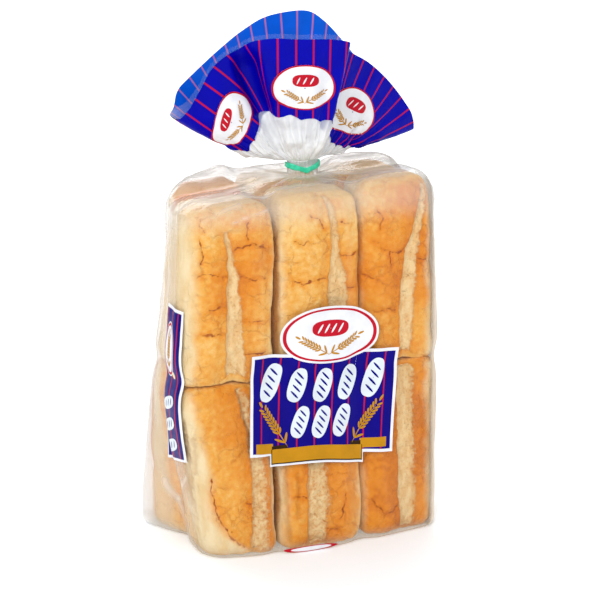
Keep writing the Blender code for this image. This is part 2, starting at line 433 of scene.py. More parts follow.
def plan_outline(count):
    """The rounded rectangle round the block of rolls: points and outward normals, in plan."""
    corners = []
    for sign_x, sign_y, start, radius in (
        (-1, -1, 180, FRONT_LEFT_RADIUS), (1, -1, 270, FRONT_RIGHT_RADIUS),
        (1, 1, 0, BACK_RADIUS), (-1, 1, 90, BACK_RADIUS),
    ):
        turn = np.radians(start + np.linspace(0, 90, 25))
        corners.append(np.column_stack([
            sign_x * (HALF_WIDTH - radius) + radius * np.cos(turn),
            sign_y * (HALF_DEPTH - radius) + radius * np.sin(turn),
        ]))
    outline = np.vstack([[[-HALF_WIDTH, 0.0]]] + corners)
    points = even_points(outline, count)
    along = np.roll(points, -1, 0) - np.roll(points, 1, 0)
    normals = np.column_stack([along[:, 1], -along[:, 0]])
    return points, normals / np.linalg.norm(normals, axis=1, keepdims=True)


def settle(x, y, height):
    """Where a point of a true box of rolls ends up in the sagging, leaning block: its shifts in x and y."""
    low = 1.0 - ease(height, 0.0, BOTTOM_EASE)
    left = ease(-x, 30 * MM, HALF_WIDTH)
    back = rise(y, -5, 45)
    front = rise(-y, 0, 40)
    move_x = LEFT_TUCK * left * (1.0 - back) * low
    move_x = move_x + BACK_LEFT_LEAN * left * back * ease(height, LEAN_START, BODY_HEIGHT)
    move_x = move_x - TOP_TAPER * ease(height, TIER_HEIGHT, BODY_HEIGHT) * x / HALF_WIDTH
    move_y = -FRONT_BELLY * front * low * np.cos(np.pi * x / (2 * HALF_WIDTH))
    return move_x, move_y


def hollow_between_rolls(points, normals, height):
    """How far the film sinks in between neighbouring rolls and between the two tiers."""
    front = np.abs(normals[:, 1]) * bell(np.abs(points[:, 0]), ROLL_WIDTH / 2, ROLL_VALLEY_WIDTH)
    side = np.abs(normals[:, 0]) * bell(points[:, 1], 0.0, ROLL_VALLEY_WIDTH)
    return ROLL_VALLEY_DEPTH * (front + side) + WAIST_DEPTH * bell(height, TIER_HEIGHT, WAIST_WIDTH)


def body_ring(height):
    """The film's outline at one height of the block."""
    points, normals = plan_outline(FILM_POINTS)
    x, y = points[:, 0], points[:, 1]
    inset = hollow_between_rolls(points, normals, height)
    if height < BOTTOM_ROUND:
        inset = inset + BOTTOM_ROUND - np.sqrt(BOTTOM_ROUND ** 2 - (BOTTOM_ROUND - height) ** 2)
    move_x, move_y = settle(x, y, height)
    low = 1.0 - ease(height, 0.0, BOTTOM_EASE)
    ear = np.hypot(x + HALF_WIDTH, y - HALF_DEPTH)
    flare = GUSSET_FLARE * low * bell(ear, 0.0, GUSSET_WIDTH)
    ring_x = x - normals[:, 0] * inset + move_x - flare
    ring_y = y - normals[:, 1] * inset + move_y + flare / 2
    return np.column_stack([ring_x, ring_y, np.full(FILM_POINTS, height)])


def neck_ring(height, count, half_width=NECK_HALF_WIDTH, half_depth=NECK_HALF_DEPTH):
    """An ellipse round the neck, starting at its left end and running round by the front."""
    turn = np.pi + turns(count)
    return np.column_stack([
        NECK_X + half_width * np.cos(turn),
        half_depth * np.sin(turn),
        np.full(count, height),
    ])


def top_height(x, y):
    """The height of the top tier's upper ends: they climb to the right, and the back row stands higher."""
    back = ease(y, -ROLL_DEPTH / 2, ROLL_DEPTH / 2)
    front_top = FRONT_TOP_HEIGHT + FRONT_TOP_TILT * x
    back_top = BACK_TOP_HEIGHT + BACK_TOP_TILT * x
    return front_top + (back_top - front_top) * back


def shoulder_ring(edge, neck, fraction):
    """The film at one fraction of its way from the block's top edge in to the neck."""
    ring = edge + (neck - edge) * fraction
    reach = np.linalg.norm((neck - edge)[:, :2], axis=1) * fraction
    over_edge = np.sqrt(1.0 - (1.0 - np.minimum(reach / SHOULDER_ROUND, 1.0)) ** 2)
    between_rolls = np.maximum(
        bell(np.abs(ring[:, 0]), ROLL_WIDTH / 2, ROLL_VALLEY_WIDTH),
        bell(ring[:, 1], 0.0, ROLL_VALLEY_WIDTH),
    )
    gathered = ease(fraction, 0.45, 1.0)
    top = top_height(ring[:, 0], ring[:, 1]) - TOP_DIP * between_rolls * (1.0 - gathered)
    taut = bell(ring[:, 0], TAUT_X, TAUT_WIDTH) * rise(ring[:, 1], 5, 35)
    top = top + TAUT_RISE * taut * (1.0 - gathered)
    height = edge[:, 2] + (top - edge[:, 2]) * over_edge
    ring[:, 2] = height + (neck[:, 2] - height) * gathered
    return ring


def film_rings():
    """The smooth rings of the film, base to neck, and how gathered each is: 0 on the body, 1 at the neck."""
    heights = np.concatenate([
        BOTTOM_ROUND * (np.arange(4) / 4) ** 1.5,
        np.linspace(BOTTOM_ROUND, BODY_HEIGHT, BODY_STEPS),
    ])
    body = [body_ring(height) for height in heights]
    base = [body[0] * share for share in np.linspace(0.02, 1.0, BASE_STEPS + 1)[:-1]]
    edge, neck = body[-1], neck_ring(NECK_BOTTOM, FILM_POINTS)
    fractions = (np.arange(1, SHOULDER_STEPS + 1) / SHOULDER_STEPS) ** 1.35
    shoulder = [shoulder_ring(edge, neck, fraction) for fraction in fractions]
    necks = [neck_ring(z, FILM_POINTS) for z in np.linspace(NECK_BOTTOM, NECK_TOP, NECK_STEPS + 1)[1:]]
    gathered = [0.0] * (len(base) + len(body)) + list(fractions) + [1.0] * len(necks)
    return np.array(base + body + shoulder + necks), np.array(gathered)[:, None]


def tension(grid):
    """Noise coordinates that fan out from the tie down the front and back: direction, distance, side."""
    below = TIE_HEIGHT + 25 * MM - grid[..., 2]
    direction = np.arctan2(grid[..., 0] - NECK_X, below)
    distance = np.hypot(grid[..., 0] - NECK_X, below)
    return np.stack([direction * 9.0, distance / (90 * MM), np.sign(grid[..., 1])], axis=-1)


def film_creases(grid, gathered):
    """How far the film's creases stand off its smooth shape, and how sharp they are, from 0 to 1."""
    turn = turns(FILM_POINTS)[None, :]
    height = grid[..., 2]
    pleats = ridges(round_and_up(turn, SHOULDER_PLEATS, gathered * 1.3), 1.0, 3)
    fine_pleats = ridges(round_and_up(turn, 2.4 * SHOULDER_PLEATS, gathered * 2.0), 1.0, 4)
    waves = noise(round_and_up(turn, 0.6 * SHOULDER_PLEATS, gathered * 0.8), 1.0, 8)
    spread = ease(gathered, 0.05, 0.45) * (1.0 - ease(gathered, 0.85, 1.0))
    neck = ease(gathered, 0.8, 1.0)
    off_floor = rise(height, 2, 20)
    shoulder = SHOULDER_PLEAT_DEPTH * spread * (waves + 0.35 * (pleats - 0.45) + 0.12 * (fine_pleats - 0.45))
    gathers = NECK_PLEAT_DEPTH * neck * (pleats + 0.6 * fine_pleats - 0.8) * 0.5
    tight = ridges(tension(grid), 1.0, 5) * rise(height, 190, 262) * (1.0 - gathered)
    slack = ridges(round_and_up(turn, 64, height / (110 * MM)), 1.0, 6)
    slack = slack * (1.0 - ease(gathered, 0.0, 0.2)) * rise(height, 4, 30)
    crumple = CRUMPLE_DEPTH * layered_noise(grid, 16 * MM, 7) * off_floor * (1.0 - neck)
    folds = SLACK_FOLD_DEPTH * (slack - 0.4) * off_floor
    lift = shoulder + gathers + TIGHT_CREASE_HEIGHT * tight ** 2 + folds + crumple
    sharp = np.maximum(spread * (0.40 * pleats ** 2 + 0.30 * fine_pleats ** 2), 0.5 * tight ** 3)
    return lift, np.maximum(sharp, 0.35 * slack ** 4)


def left_side(grid):
    """1 on the left side of the film, behind its front corner, and 0 away from it."""
    return rise(-grid[..., 0], 84, 100) * rise(grid[..., 1], -40, -20)


def right_side(grid):
    """1 on the right side of the film, and 0 away from it."""
    return rise(grid[..., 0], 97, 103)


def back_left_corner(grid):
    """1 on the loose film round the back left corner of the block, and 0 away from it."""
    return rise(-grid[..., 0], 90, 100) * rise(grid[..., 1], 22, 40)


def whitened_and_highlit_creases(grid):
    """How much cloudier the film is along its whitened creases, which on the shoulders are partly a painted
    highlight. Those at the gussets are on both sides.
    """
    mirrored = grid * np.array([-1.0, 1.0, 1.0])
    cloud = 0.0
    for line, width, strength in SHOULDER_HIGHLIGHT_CREASES + GUSSET_CREASES:
        cloud = cloud + strength * bell(distance_to_path(grid, line), 0.0, width * MM)
    for line, width, strength in GUSSET_CREASES:
        cloud = cloud + strength * bell(distance_to_path(mirrored, line), 0.0, width * MM)
    return cloud


def film_cloud(grid, gathered, sharp):
    """How milky the film is, from 0 to 1: clear on the front, cloudy where it is gathered or creased, the
    sharp creases partly as a painted highlight.
    """
    depth, height = grid[..., 1], grid[..., 2]
    right = RIGHT_CLOUD * right_side(grid) * (1.0 - 0.66 * rise(depth, -38, -16))
    sides = SIDE_CLOUD * left_side(grid) + CORNER_CLOUD * back_left_corner(grid) + right
    cloud = CLEAR_CLOUD + sides * (1.0 - ease(gathered, 0.0, 0.2))
    cloud = cloud + BASE_CLOUD * (1.0 - rise(height, 2, 11))
    cloud = cloud + TOP_CLOUD * rise(height, 250, 272) * (0.35 + 0.65 * rise(-depth, 8, 30))
    cloud = cloud + BACK_CLOUD * rise(height, 268, 280) * rise(depth, -4, 30)
    cloud = cloud + SHOULDER_CLOUD * ease(gathered, 0.0, 0.30) + NECK_CLOUD * ease(gathered, 0.5, 1.0)
    cloud = cloud + PLEAT_CLOUD_AND_HIGHLIGHT * sharp * (0.25 + gathered) + whitened_and_highlit_creases(grid)
    return np.clip(cloud, 0.0, MOST_CLOUD)


def bread_light_painted_on_film(grid):
    """How much painted bread light tints the film's milky colour, for the light the rolls send through its
    haze: 1 low on the body, less at the top and left side.
    """
    height = grid[..., 2]
    corner = 1.0 - 0.35 * left_side(grid) - 0.5 * back_left_corner(grid)
    right = 0.85 * right_side(grid) * (1.0 - rise(height, 266, 280))
    return np.maximum(1.0 - rise(height, 240, 262), right) * corner


def painted_slack_shade(grid, gathered):
    """Painted shade on the film: 1 where it lies slack over the back rolls and is darkened to grey, and 0 on
    the body and at the neck.
    """
    front = rise(-grid[..., 1], 18, 38)
    return ease(gathered, 0.0, 0.09) * (1.0 - ease(gathered, 0.7, 1.0)) * (1.0 - 0.75 * front)


def make_film_body(finish):
    """The clear film from its flat base to the neck. Returns its search tree for the print."""
    smooth, gathered = film_rings()
    lift, sharp = film_creases(smooth, gathered)
    grid = smooth + grid_normals(smooth) * lift[..., None]
    grid[..., 2] = np.maximum(grid[..., 2], 0.0)
    grid[: BASE_STEPS + 1, :, 2] = 0.0
    middle = grid.shape[0] * FILM_POINTS
    points = np.vstack([grid.reshape(-1, 3), [[0.0, 0.0, 0.0]]])
    faces = grid_faces(grid.shape[0], FILM_POINTS).tolist()
    faces += [[(i + 1) % FILM_POINTS, i, middle] for i in range(FILM_POINTS)]
    looks = {
        "cloud": np.append(film_cloud(grid, gathered, sharp).ravel(), 0.1),
        "painted_bread_light": np.append(bread_light_painted_on_film(grid).ravel(), 1.0),
        "painted_film_shade": np.append(painted_slack_shade(grid, gathered).ravel(), 0.0),
    }
    piece = new_piece("film_body", points, faces, finish, "film", looks)
    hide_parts("bag")
    return BVHTree.FromPolygons(points.tolist(), faces)


# ---- mouth

def mouth_rim():
    """The rim of the mouth as evenly spaced points."""
    return even_points(smooth_closed(np.array(FRONT_RIM + BACK_RIM) * MM), FAN_POINTS)


def wing_fold(rim):
    """1 on the line of film where the left wing folds in behind the front panel, falling to 0 beside it."""
    front = rim[:, 1] < -10 * MM
    return bell(rim[:, 0], WING_FOLD_X, 7 * MM) * front


def gathers_and_fine(fraction):
    """Two nets of creases that run up from the tie, coarse and fine, from 0 to 1."""
    turn = turns(FAN_POINTS)[None, :]
    gathers = ridges(round_and_up(turn, 44, fraction * 1.6), 1.0, 21)
    return gathers, ridges(round_and_up(turn, 110, fraction * 3.0), 1.0, 22)


def mouth_points(rim, fraction):
    """Points of the mouth's film, where fraction is 0 at the neck and 1 at the rim, row by row."""
    fraction = np.broadcast_to(fraction, (len(fraction), FAN_POINTS))
    neck = neck_ring(NECK_TOP, FAN_POINTS)
    grid = neck + (rim - neck) * fraction[..., None] ** FAN_SPREAD_POWER
    grid[..., 2] = neck[:, 2] + (rim[:, 2] - neck[:, 2]) * fraction ** FAN_RISE_POWER
    turn = turns(FAN_POINTS)[None, :]
    wave = np.sin(FAN_PLEATS * turn) * np.abs(np.sin(turn))
    gathers, fine = gathers_and_fine(fraction)
    near_neck = (1.0 - ease(fraction, 0.15, 0.75)) * ease(fraction, 0.0, 0.12)
    folded = ease(fraction, 0.2, 0.6) * (1.0 - ease(fraction, 0.8, 1.0))
    grid[..., 1] += FAN_PLEAT_DEPTH * wave * 4.0 * fraction * (1.0 - fraction)
    crease = (2.0 * MM * (gathers - 0.4) + 0.9 * MM * (fine - 0.4)) * near_neck
    crease = crease + 1.8 * MM * layered_noise(grid, 9 * MM, 24, 4) * near_neck
    crease = crease + 0.5 * MM * layered_noise(grid, 18 * MM, 23) * ease(fraction, 0.1, 0.4)
    crease = crease - WING_FOLD_DEPTH * wing_fold(rim) * folded
    return grid + grid_normals(grid) * crease[..., None]


def at_back(rim):
    """1 where the rim is the back layer's, 0 where it is the front layer's, changing at the two tips."""
    place = np.arange(FAN_POINTS) / FAN_POINTS
    tip = np.argmax(rim[:, 0]) / FAN_POINTS
    return ease(place, tip, tip + 0.03) * (1.0 - ease(place, 0.97, 1.0))


def near_tips(rim):
    """1 at the mouth's two tips, falling to 0 beside them."""
    x = rim[:, 0]
    return np.maximum(bell(x, x.min(), 9 * MM), 0.8 * bell(x, x.max(), 9 * MM))


def line_lengths(rim):
    """The length of each line of film from the neck to the rim."""
    lines = mouth_points(rim, np.linspace(0, 1, 40)[:, None])
    return np.linalg.norm(np.diff(lines, axis=0), axis=2).sum(axis=0)


def make_mouth_film(rim, finish):
    """The whole clear sheet of the mouth: crinkled over the tie, with a clear lip past the print."""
    margin = np.maximum(BACK_MARGIN * at_back(rim), TIP_MARGIN * near_tips(rim))
    fraction = np.linspace(0.0, 1.0, FAN_STEPS + 1)[:, None] * (1.0 + margin / line_lengths(rim))
    gathers, fine = gathers_and_fine(fraction)
    neck = 1.0 - ease(fraction, 0.25, 0.75)
    cloud = 0.03 + 0.62 * neck + 0.22 * neck * (gathers ** 2 + fine ** 2 - 0.5)
    cloud = cloud + 0.30 * near_tips(rim) * ease(fraction, 0.86, 1.0)
    faces = grid_faces(FAN_STEPS + 1, FAN_POINTS)
    looks = {"cloud": np.clip(cloud, 0.0, MOST_CLOUD)}
    new_piece("mouth_film", mouth_points(rim, fraction), faces, finish, "film", looks)


def print_edges(rim):
    """Where the mouth's print begins and ends on each line of film, as fractions of the way to the rim."""
    x, back, lengths = rim[:, 0], at_back(rim), line_lengths(rim)
    scallop = PRINT_SCALLOP * np.abs(np.sin(11 * turns(FAN_POINTS)))
    wing = rise(np.abs(x - NECK_X / 2), 30, 60)
    band = FRONT_PRINT_BAND + (WING_PRINT_BAND - FRONT_PRINT_BAND) * wing - scallop
    band = band + (FOLD_PRINT_BAND - band) * bell(x, WING_FOLD_X, 12 * MM) * (1.0 - back)
    lip = FRONT_LIP + (BACK_LIP - FRONT_LIP) * back
    lip = lip + (TIP_LIP - lip) * bell(x, x.min(), 14 * MM)
    return np.clip(1.0 - band / lengths, 0.12, 0.9), 1.0 - lip / lengths


def stripe_places(rim):
    """How far round the mouth each line of film lies, in metres from the middle of the front."""
    step = np.linalg.norm(np.roll(rim, -1, 0) - rim, axis=1)
    reach = np.cumsum(step) - step
    return reach - reach[np.argmin(rim[: FAN_POINTS // 2, 1])]


def straightened(rim, grid):
    """How far each stripe is moved along the rim so that it runs straight over its panel."""
    x, y = rim[:, 0], rim[:, 1]
    front = (1.0 - at_back(rim)) * (y < 10 * MM)
    left = rise(-x, 46, 54) * front
    middle = rise(x, -46, -38) * (1.0 - rise(x, 34, 40)) * (y < -20 * MM)
    right = 0.3 * rise(x, 40, 50) * front
    shift = left * LEFT_WING_PHASE
    moved = grid - rim
    for panel, along in ((left, LEFT_WING_ALONG), (middle, FRONT_PANEL_ALONG), (right, RIGHT_WING_ALONG)):
        shift = shift + panel * (moved @ np.array(along))
    return shift


def make_mouth_print(name, rim, side, finish, slot):
    """One side of the mouth's printed sheet. side is 1 outside and -1 inside."""
    start, end = print_edges(rim)
    grid = mouth_points(rim, start + (end - start) * np.linspace(0.0, 1.0, PRINT_ROWS)[:, None])
    grid = grid + grid_normals(grid) * (side * INK_LIFT)
    across = stripe_places(rim) + straightened(rim, grid)
    faces = grid_faces(PRINT_ROWS, FAN_POINTS)[:, ::side]
    return new_piece(name, grid, faces, finish, slot, {"across": across})


# ---- rolls

@dataclass(frozen=True)
class Roll:
    """One roll, in millimetres. Heights are from the ground, and places across from its column's middle.

    row is 0 in front and 1 behind. split holds (height, middle, half width), crust_left (height, place), and
    cracks and folds lines of (place, height). toast is how brown it is and crisp how sharp its split is, from
    0 to 1. Left of shade the skin lies in the dark between two rolls, where painted shade darkens its colour.
    turned says that the inner part of its flank is crust too.
    """

    name: str
    column: int
    row: int
    bottom: float
    top: float
    split: tuple
    crust_left: tuple
    crust_right: float
    cracks: tuple
    toast: float
    seed: int
    width: float = 71.0
    shift: float = 0.0
    right_power: float = 8.0
    turned: bool = False
    crisp: float = 1.0
    folds: tuple = ()
    shade: float = -60.0


def back_roll(name, column, tier, seed):
    """A roll of the back row, whose crust faces the back."""
    rng = np.random.default_rng(seed)
    bottom = 0.0 if tier == 0 else 142.0
    top = 140.0 if tier == 0 else 283.0 + 2.0 * column
    middle = rng.uniform(-7, 7)
    split = tuple((bottom + part * (top - bottom), middle + rng.uniform(-3, 3), rng.uniform(4, 8))
                  for part in np.linspace(0, 1, 6))
    cracks = []
    for height in bottom + (top - bottom) * np.array([0.25, 0.45, 0.63, 0.8]):
        side = rng.choice([-1, 1])
        start = middle + side * rng.uniform(6, 9)
        height = height + rng.uniform(-6, 6)
        cracks.append(((start, height), (start + side * 8, height + rng.uniform(-2, 2)),
                       (start + side * rng.uniform(12, 17), height + rng.uniform(-3, 3))))
    width = 66.5 if column == 1 else 70.5
    toast = rng.uniform(0.35, 0.55) + 0.60 * (tier == 1 and column == -1)
    return Roll(name, column, 1, bottom, top, split, ((bottom, -28.0), (top, -28.0)), 28.0,
                tuple(cracks), toast, seed, width, -2.5 * max(column, -0.3),
                BACK_CROWN_POWER, column == -1 and tier == 0)


FRONT_ROLLS = (
    Roll(
        "roll_top_left", -1, 0, bottom=136.0, top=274.5, toast=0.40, seed=11, width=74.5, shift=1.6,
        split=((137, 7.4, 7.6), (151, 7.2, 7.8), (170, 7.0, 6.8), (197, 6.9, 5.4), (220, 6.0, 4.4),
               (236, 4.6, 2.2), (243, 3.0, 1.8), (249, 1.2, 2.4), (254, 0.6, 1.4), (258, 0.4, 0.0)),
        crust_left=((140, -27), (175, -25), (207, -23), (245, -25), (279, -27)), crust_right=38,
        cracks=(((6.6, 241), (12, 242.5), (18, 245), (31, 242.3)), ((10.8, 220.7), (20, 218), (30.2, 217.3)),
                ((14.8, 185.2), (32.5, 183.3)), ((17, 261.3), (17.7, 249)),
                ((-22.7, 223), (-12, 225), (1, 221)), ((-13.4, 198), (-1.8, 198)),
                ((-18.7, 179), (-2, 177.2)), ((-20, 250), (-17, 240), (-19, 232)),
                ((-18, 268), (-20, 261), (-15, 256)), ((8, 161), (20, 159), (31, 160))),
    ),
    Roll(
        "roll_top_middle", 0, 0, bottom=138.5, top=279.5, toast=0.34, seed=12, width=73, shift=3.6,
        shade=-26.5,
        split=((141, 17, 8), (197, 20.0, 7.9), (216, 19.2, 6.8), (232, 17.2, 3.4), (249, 16.2, 2.9),
               (269, 13.6, 2.7), (279, 8.5, 1.6)),
        crust_left=((141, -26), (200, -26), (283, -24)), crust_right=44,
        cracks=(((-17, 213.6), (-7.5, 210), (-3, 211), (4, 214), (11, 214.1)),
                ((21, 230.2), (28, 229), (37, 232)), ((-3, 262), (4, 258), (8, 252)),
                ((-16, 243), (-10, 240), (-4, 243)), ((22, 256), (30, 254)), ((24, 205), (36, 203))),
    ),
    Roll(
        "roll_top_right", 1, 0, bottom=139.0, top=286, toast=0.64, seed=13, width=63.5, shift=1.3,
        right_power=7.0, shade=-33.5,
        split=((142, 6.2, 4.5), (182, 7.2, 5.5), (202, 8.0, 5.6), (230, 10.5, 5.0), (243, 14.4, 3.8),
               (272, 20.2, 3.2), (285, 21.5, 2.2)),
        crust_left=((143, -34), (287, -34)), crust_right=26,
        cracks=(((-16, 231.7), (-6, 229), (3.8, 230.4)), ((-30.6, 212.6), (-24, 209), (-19.6, 207.5)),
                ((-8.9, 229.5), (-7.9, 217.5)), ((15.9, 221.6), (26.2, 219.9)),
                ((-20, 262), (-14, 255), (-17, 246)), ((-20, 181), (-8, 183), (-2, 181)),
                ((-24, 239), (-16, 236)), ((-33, 244), (-33.5, 205), (-33, 162))),
    ),
    Roll(
        "roll_low_left", -1, 0, bottom=0, top=137, toast=0.47, seed=14, width=73, shift=1.2, turned=True,
        crisp=0.4,
        split=((0, 23, 6.5), (15, 23.7, 6.8), (31, 24.2, 6.6), (52, 24, 6.4), (72, 23.4, 5.6), (87, 20, 3.8),
               (105, 17, 2.8), (123, 13.8, 3.5), (133, 9.6, 2.4)),
        crust_left=((0, 16), (9, 8), (18, -4), (29, -12), (47, -16), (63, -15), (76, -16), (92, -20),
                    (109, -25), (129, -30)), crust_right=37,
        cracks=(((12.5, 42), (19, 40.3)), ((-12.5, 66), (-13, 55), (-10, 38), (-2, 20), (11, 6))),
        folds=(((-34, 108), (-30, 84), (-26, 60), (-24, 30), (-22, 12)), ((-27, 98), (-24, 70))),
    ),
    Roll(
        "roll_low_middle", 0, 0, bottom=0, top=138, toast=0.62, seed=15, width=69.4, shift=2.3, crisp=0.5,
        shade=-30.5,
        split=((0, -2.7, 6.8), (8, -2.7, 6.8), (40, 0.2, 8.4), (60, -0.3, 7.6), (100, 1, 7), (140, 2, 6)),
        crust_left=((0, -27), (140, -29)), crust_right=36,
        cracks=(((23.6, 40.2), (20, 30), (18.6, 20.9)), ((-20.9, 42), (-7.9, 39.8)), ((4, 14), (16, 12))),
        folds=(((-25, 70), (-27, 40), (-24, 8)), ((-16, 60), (-17, 30))),
    ),
    Roll(
        "roll_low_right", 1, 0, bottom=0, top=140, toast=0.88, seed=16, width=67, shift=-0.5, right_power=7.0,
        crisp=0.55, shade=-33.5,
        split=((0, 7, 5), (15, 7.9, 6.4), (30, 6.6, 8.3), (49, 6.1, 7.8), (70, 6.8, 7.6), (99, 6.3, 6.8),
               (126, 6.3, 6.4), (142, 6, 6)),
        crust_left=((0, -34), (142, -34)), crust_right=26,
        cracks=(((-24, 31.8), (-17, 20), (-12.6, 16.6), (-6, 17.5), (-2.1, 21)), ((-20, 90), (-10, 92))),
    ),
)
BACK_ROLLS = (
    back_roll("roll_back_top_left", -1, 1, 21),
    back_roll("roll_back_top_middle", 0, 1, 22),
    back_roll("roll_back_top_right", 1, 1, 23),
    back_roll("roll_back_low_left", -1, 0, 24),
    back_roll("roll_back_low_middle", 0, 0, 25),
    back_roll("roll_back_low_right", 1, 0, 26),
)


def cross_section(roll, count, fineness):
    """A roll's outline across its length, finer on the crust: places across and outward."""
    turn = np.linspace(-np.pi / 2, 3 * np.pi / 2, PROFILE_POINTS)
    crown = np.sin(turn) > 0
    left_power = BACK_CROWN_POWER if roll.row else FRONT_CROWN_POWER
    power = 2 / np.where(crown, np.where(np.cos(turn) > 0, roll.right_power, left_power), BASE_POWER)
    across, outward = rounded(np.cos(turn), power), rounded(np.sin(turn), power)
    tilt = CROWN_TILT * across * ease(outward, 0.0, 0.7) * (roll.row == 0)
    depth = outward * np.where(crown, CROWN, ROLL_DEPTH - CROWN) + tilt
    outline = np.column_stack([across * roll.width / 2 * MM, depth])
    step = np.linalg.norm(np.diff(outline, axis=0), axis=1) * np.where(crown[1:], fineness, 1.0)
    return at_shares(outline, step, np.arange(count) / count).T


def end_profile(roll, count, length):
    """How a roll's girth falls off to its ends: heights from -1 to 1 and girths from 0 to 1, no poles."""
    turn = np.linspace(-np.pi / 2, np.pi / 2, PROFILE_POINTS)
    low_power, top_power = GROUND_END_POWER, TIER_END_POWER
    if roll.bottom > 0:
        low_power, top_power = TIER_END_POWER, BACK_END_POWER if roll.row else TOP_END_POWER
    power = 2 / np.where(turn > 0, top_power, low_power)
    height, girth = rounded(np.sin(turn), power), rounded(np.cos(turn), power)
    step = np.hypot(np.diff(height) * length / 2, np.diff(girth) * ROLL_WIDTH / 2)
    return at_shares(np.column_stack([height, girth]), step, np.linspace(0.0, 1.0, count + 2)[1:-1]).T


def split_of(roll, height):
    """The middle and half width of the roll's open split at each height, in metres."""
    stops, middles, halves = np.array(sorted(roll.split), float).T * MM
    near_top = rise(roll.top * MM - height, 0, 3)
    near_bottom = rise(height - roll.bottom * MM, 0, 2.5)
    return np.interp(height, stops, middles), np.interp(height, stops, halves) * near_top * near_bottom


def into_split(roll, grid, place, crusty):
    """How far each point lies inside the open split, and how far right of its middle, in metres."""
    middle, half = split_of(roll, grid[..., 2])
    off_middle = place - middle + 1.1 * MM * layered_noise(grid, 10 * MM, roll.seed + 1, 4)
    into = np.minimum(half + off_middle, (half - off_middle) * RIGHT_LIP_SOFTNESS)
    return np.where(half > 0.6 * MM, into, -10 * MM) - 10 * MM * (1.0 - crusty), off_middle


def pale_side(roll, grid, normals, place, border):
    """Where the roll was baked against its neighbour and its skin stayed pale and soft, from 0 to 1."""
    facing, depth, height = normals[..., 1], grid[..., 1] + border, grid[..., 2]
    if roll.turned and roll.row:
        side = rise(depth, -14, -5) * (1.0 - ease(facing, 0.0, 0.3))
        return side * (1.0 - 0.5 * rise(80 * MM - height, 0, 60))
    stops, places = np.array(sorted(roll.crust_left), float).T * MM
    left = np.interp(height, stops, places) + border - place
    right = place - roll.crust_right * MM - border
    side = np.maximum(rise(left, -7, 5), rise(right, -6, 5))
    side = np.maximum(side, 1.0 - ease(facing, -0.05, 0.25)) * ease(facing, -0.85, -0.6)
    return side * rise(depth, -2, 5) if roll.turned else side


def near_top(roll, height, low, high):
    """On a roll of the top tier, a rise from 0 to 1 between low and high millimetres under its upper end."""
    return rise(height, roll.top - low, roll.top - high) * (roll.bottom > 0)


def roll_marks(roll, grid, normals, place):
    """What the skin is at each point: how far into the split, how pale, how near a crack, fold, lip or end,
    and its painted shade.

    place is how far across the block each point ends up from the middle of its column.
    """
    height = grid[..., 2]
    crusty = ease(normals[..., 1], 0.0, 0.30)
    into, off_middle = into_split(roll, grid, place, crusty)
    crumb = rise(into, -0.4, 0.4)
    border = 3.0 * MM * layered_noise(grid, 16 * MM, roll.seed + 2, 4)
    end = ease(np.abs(normals[..., 2]), 0.35, 0.80)
    shake = [layered_noise(grid, 7 * MM, roll.seed + k, 3) + 0.7 * noise(grid, 2.6 * MM, roll.seed + 10 + k)
             for k in (3, 4)]
    shaken = np.stack([place, height], axis=-1) + CRACK_SHAKE * np.stack(shake, axis=-1)
    # Painted shade: left of the roll's shade place the skin is coloured darker, where it lies in the dark
    # between two rolls, less near the top.
    deep = rise(roll.shade * MM - place + 0.3 * border, -1.2, 1.8)
    deep = deep * (1.0 - 0.8 * near_top(roll, height, 42, 14))
    near_split = np.exp(-np.maximum(-into, 0.0) / (13 * MM)) * crusty
    near_split = near_split * (1.0 - 0.7 * (roll.column == 1) * rise(off_middle, 0, 8))
    return {
        "into": into, "crumb": crumb, "crusty": crusty, "deep": deep, "end": end, "near_split": near_split,
        "pale": pale_side(roll, grid, normals, place, border) * (1.0 - 0.6 * end),
        "gap": distance_to_paths(shaken, roll.cracks) + 10 * MM * np.maximum(1.0 - crusty, crumb),
        "fold": bell(distance_to_paths(shaken, roll.folds), 0.0, FOLD_WIDTH),
        "lip": bell(into, -1.2 * MM, 1.3 * MM) * crusty,
    }


def roll_relief(roll, grid, marks):
    """How far the skin stands off the smooth loaf, in metres."""
    into, crusty, gap = marks["into"], marks["crusty"], marks["gap"]
    torn = 0.9 * MM * layered_noise(grid, 6 * MM, roll.seed + 5, 4)
    lobes = LOBE_RISE * (rise(-into, -1, 11) - 1.0) * crusty
    lumps = 1.3 * MM * layered_noise(grid, 24 * MM, roll.seed + 6, 3)
    lumps = lumps + 0.2 * MM * noise(grid, 3 * MM, roll.seed + 7)
    soft_folds = ridges(grid, (8 * MM, 6 * MM, 60 * MM), roll.seed + 8) ** 2
    ends = np.maximum(marks["end"], near_top(roll, grid[..., 2], 50, 12))
    wrinkles = ridges(grid, 9 * MM, roll.seed + 12) ** 2 * ends
    crack = CRACK_DEPTH * bell(gap, 0.0, CRACK_WIDTH) + VALLEY_DEPTH * bell(gap, 0.0, VALLEY_WIDTH)
    skin = lumps + lobes + LIP_RISE * marks["lip"] - crack * crusty - FOLD_DEPTH * marks["fold"]
    skin = skin - 0.5 * MM * soft_folds * marks["pale"] - 0.8 * MM * wrinkles
    return skin - marks["crumb"] * ease(into, -0.6 * MM, SPLIT_WALL) * (SPLIT_DEPTH - torn)


def roll_toast(roll, grid, marks):
    """How dark the crust is baked, from 0 to 1."""
    share_up = (grid[..., 2] / MM - roll.bottom) / (roll.top - roll.bottom)
    patches = layered_noise(grid, 34 * MM, roll.seed + 9, 4)
    toast = roll.toast + 0.20 * patches + 0.12 * noise(grid, 3 * MM, roll.seed + 10)
    toast = toast + 0.34 * marks["near_split"] + 0.20 * bell(marks["gap"], 0.0, 3 * MM)
    toast = toast - 0.22 * (1.0 - bell(share_up, 0.60, 0.40))
    high = near_top(roll, grid[..., 2], 45, 15) * (roll.row == 0)
    return np.clip(toast - 0.15 * marks["end"] - 0.22 * high, 0.0, 1.0)


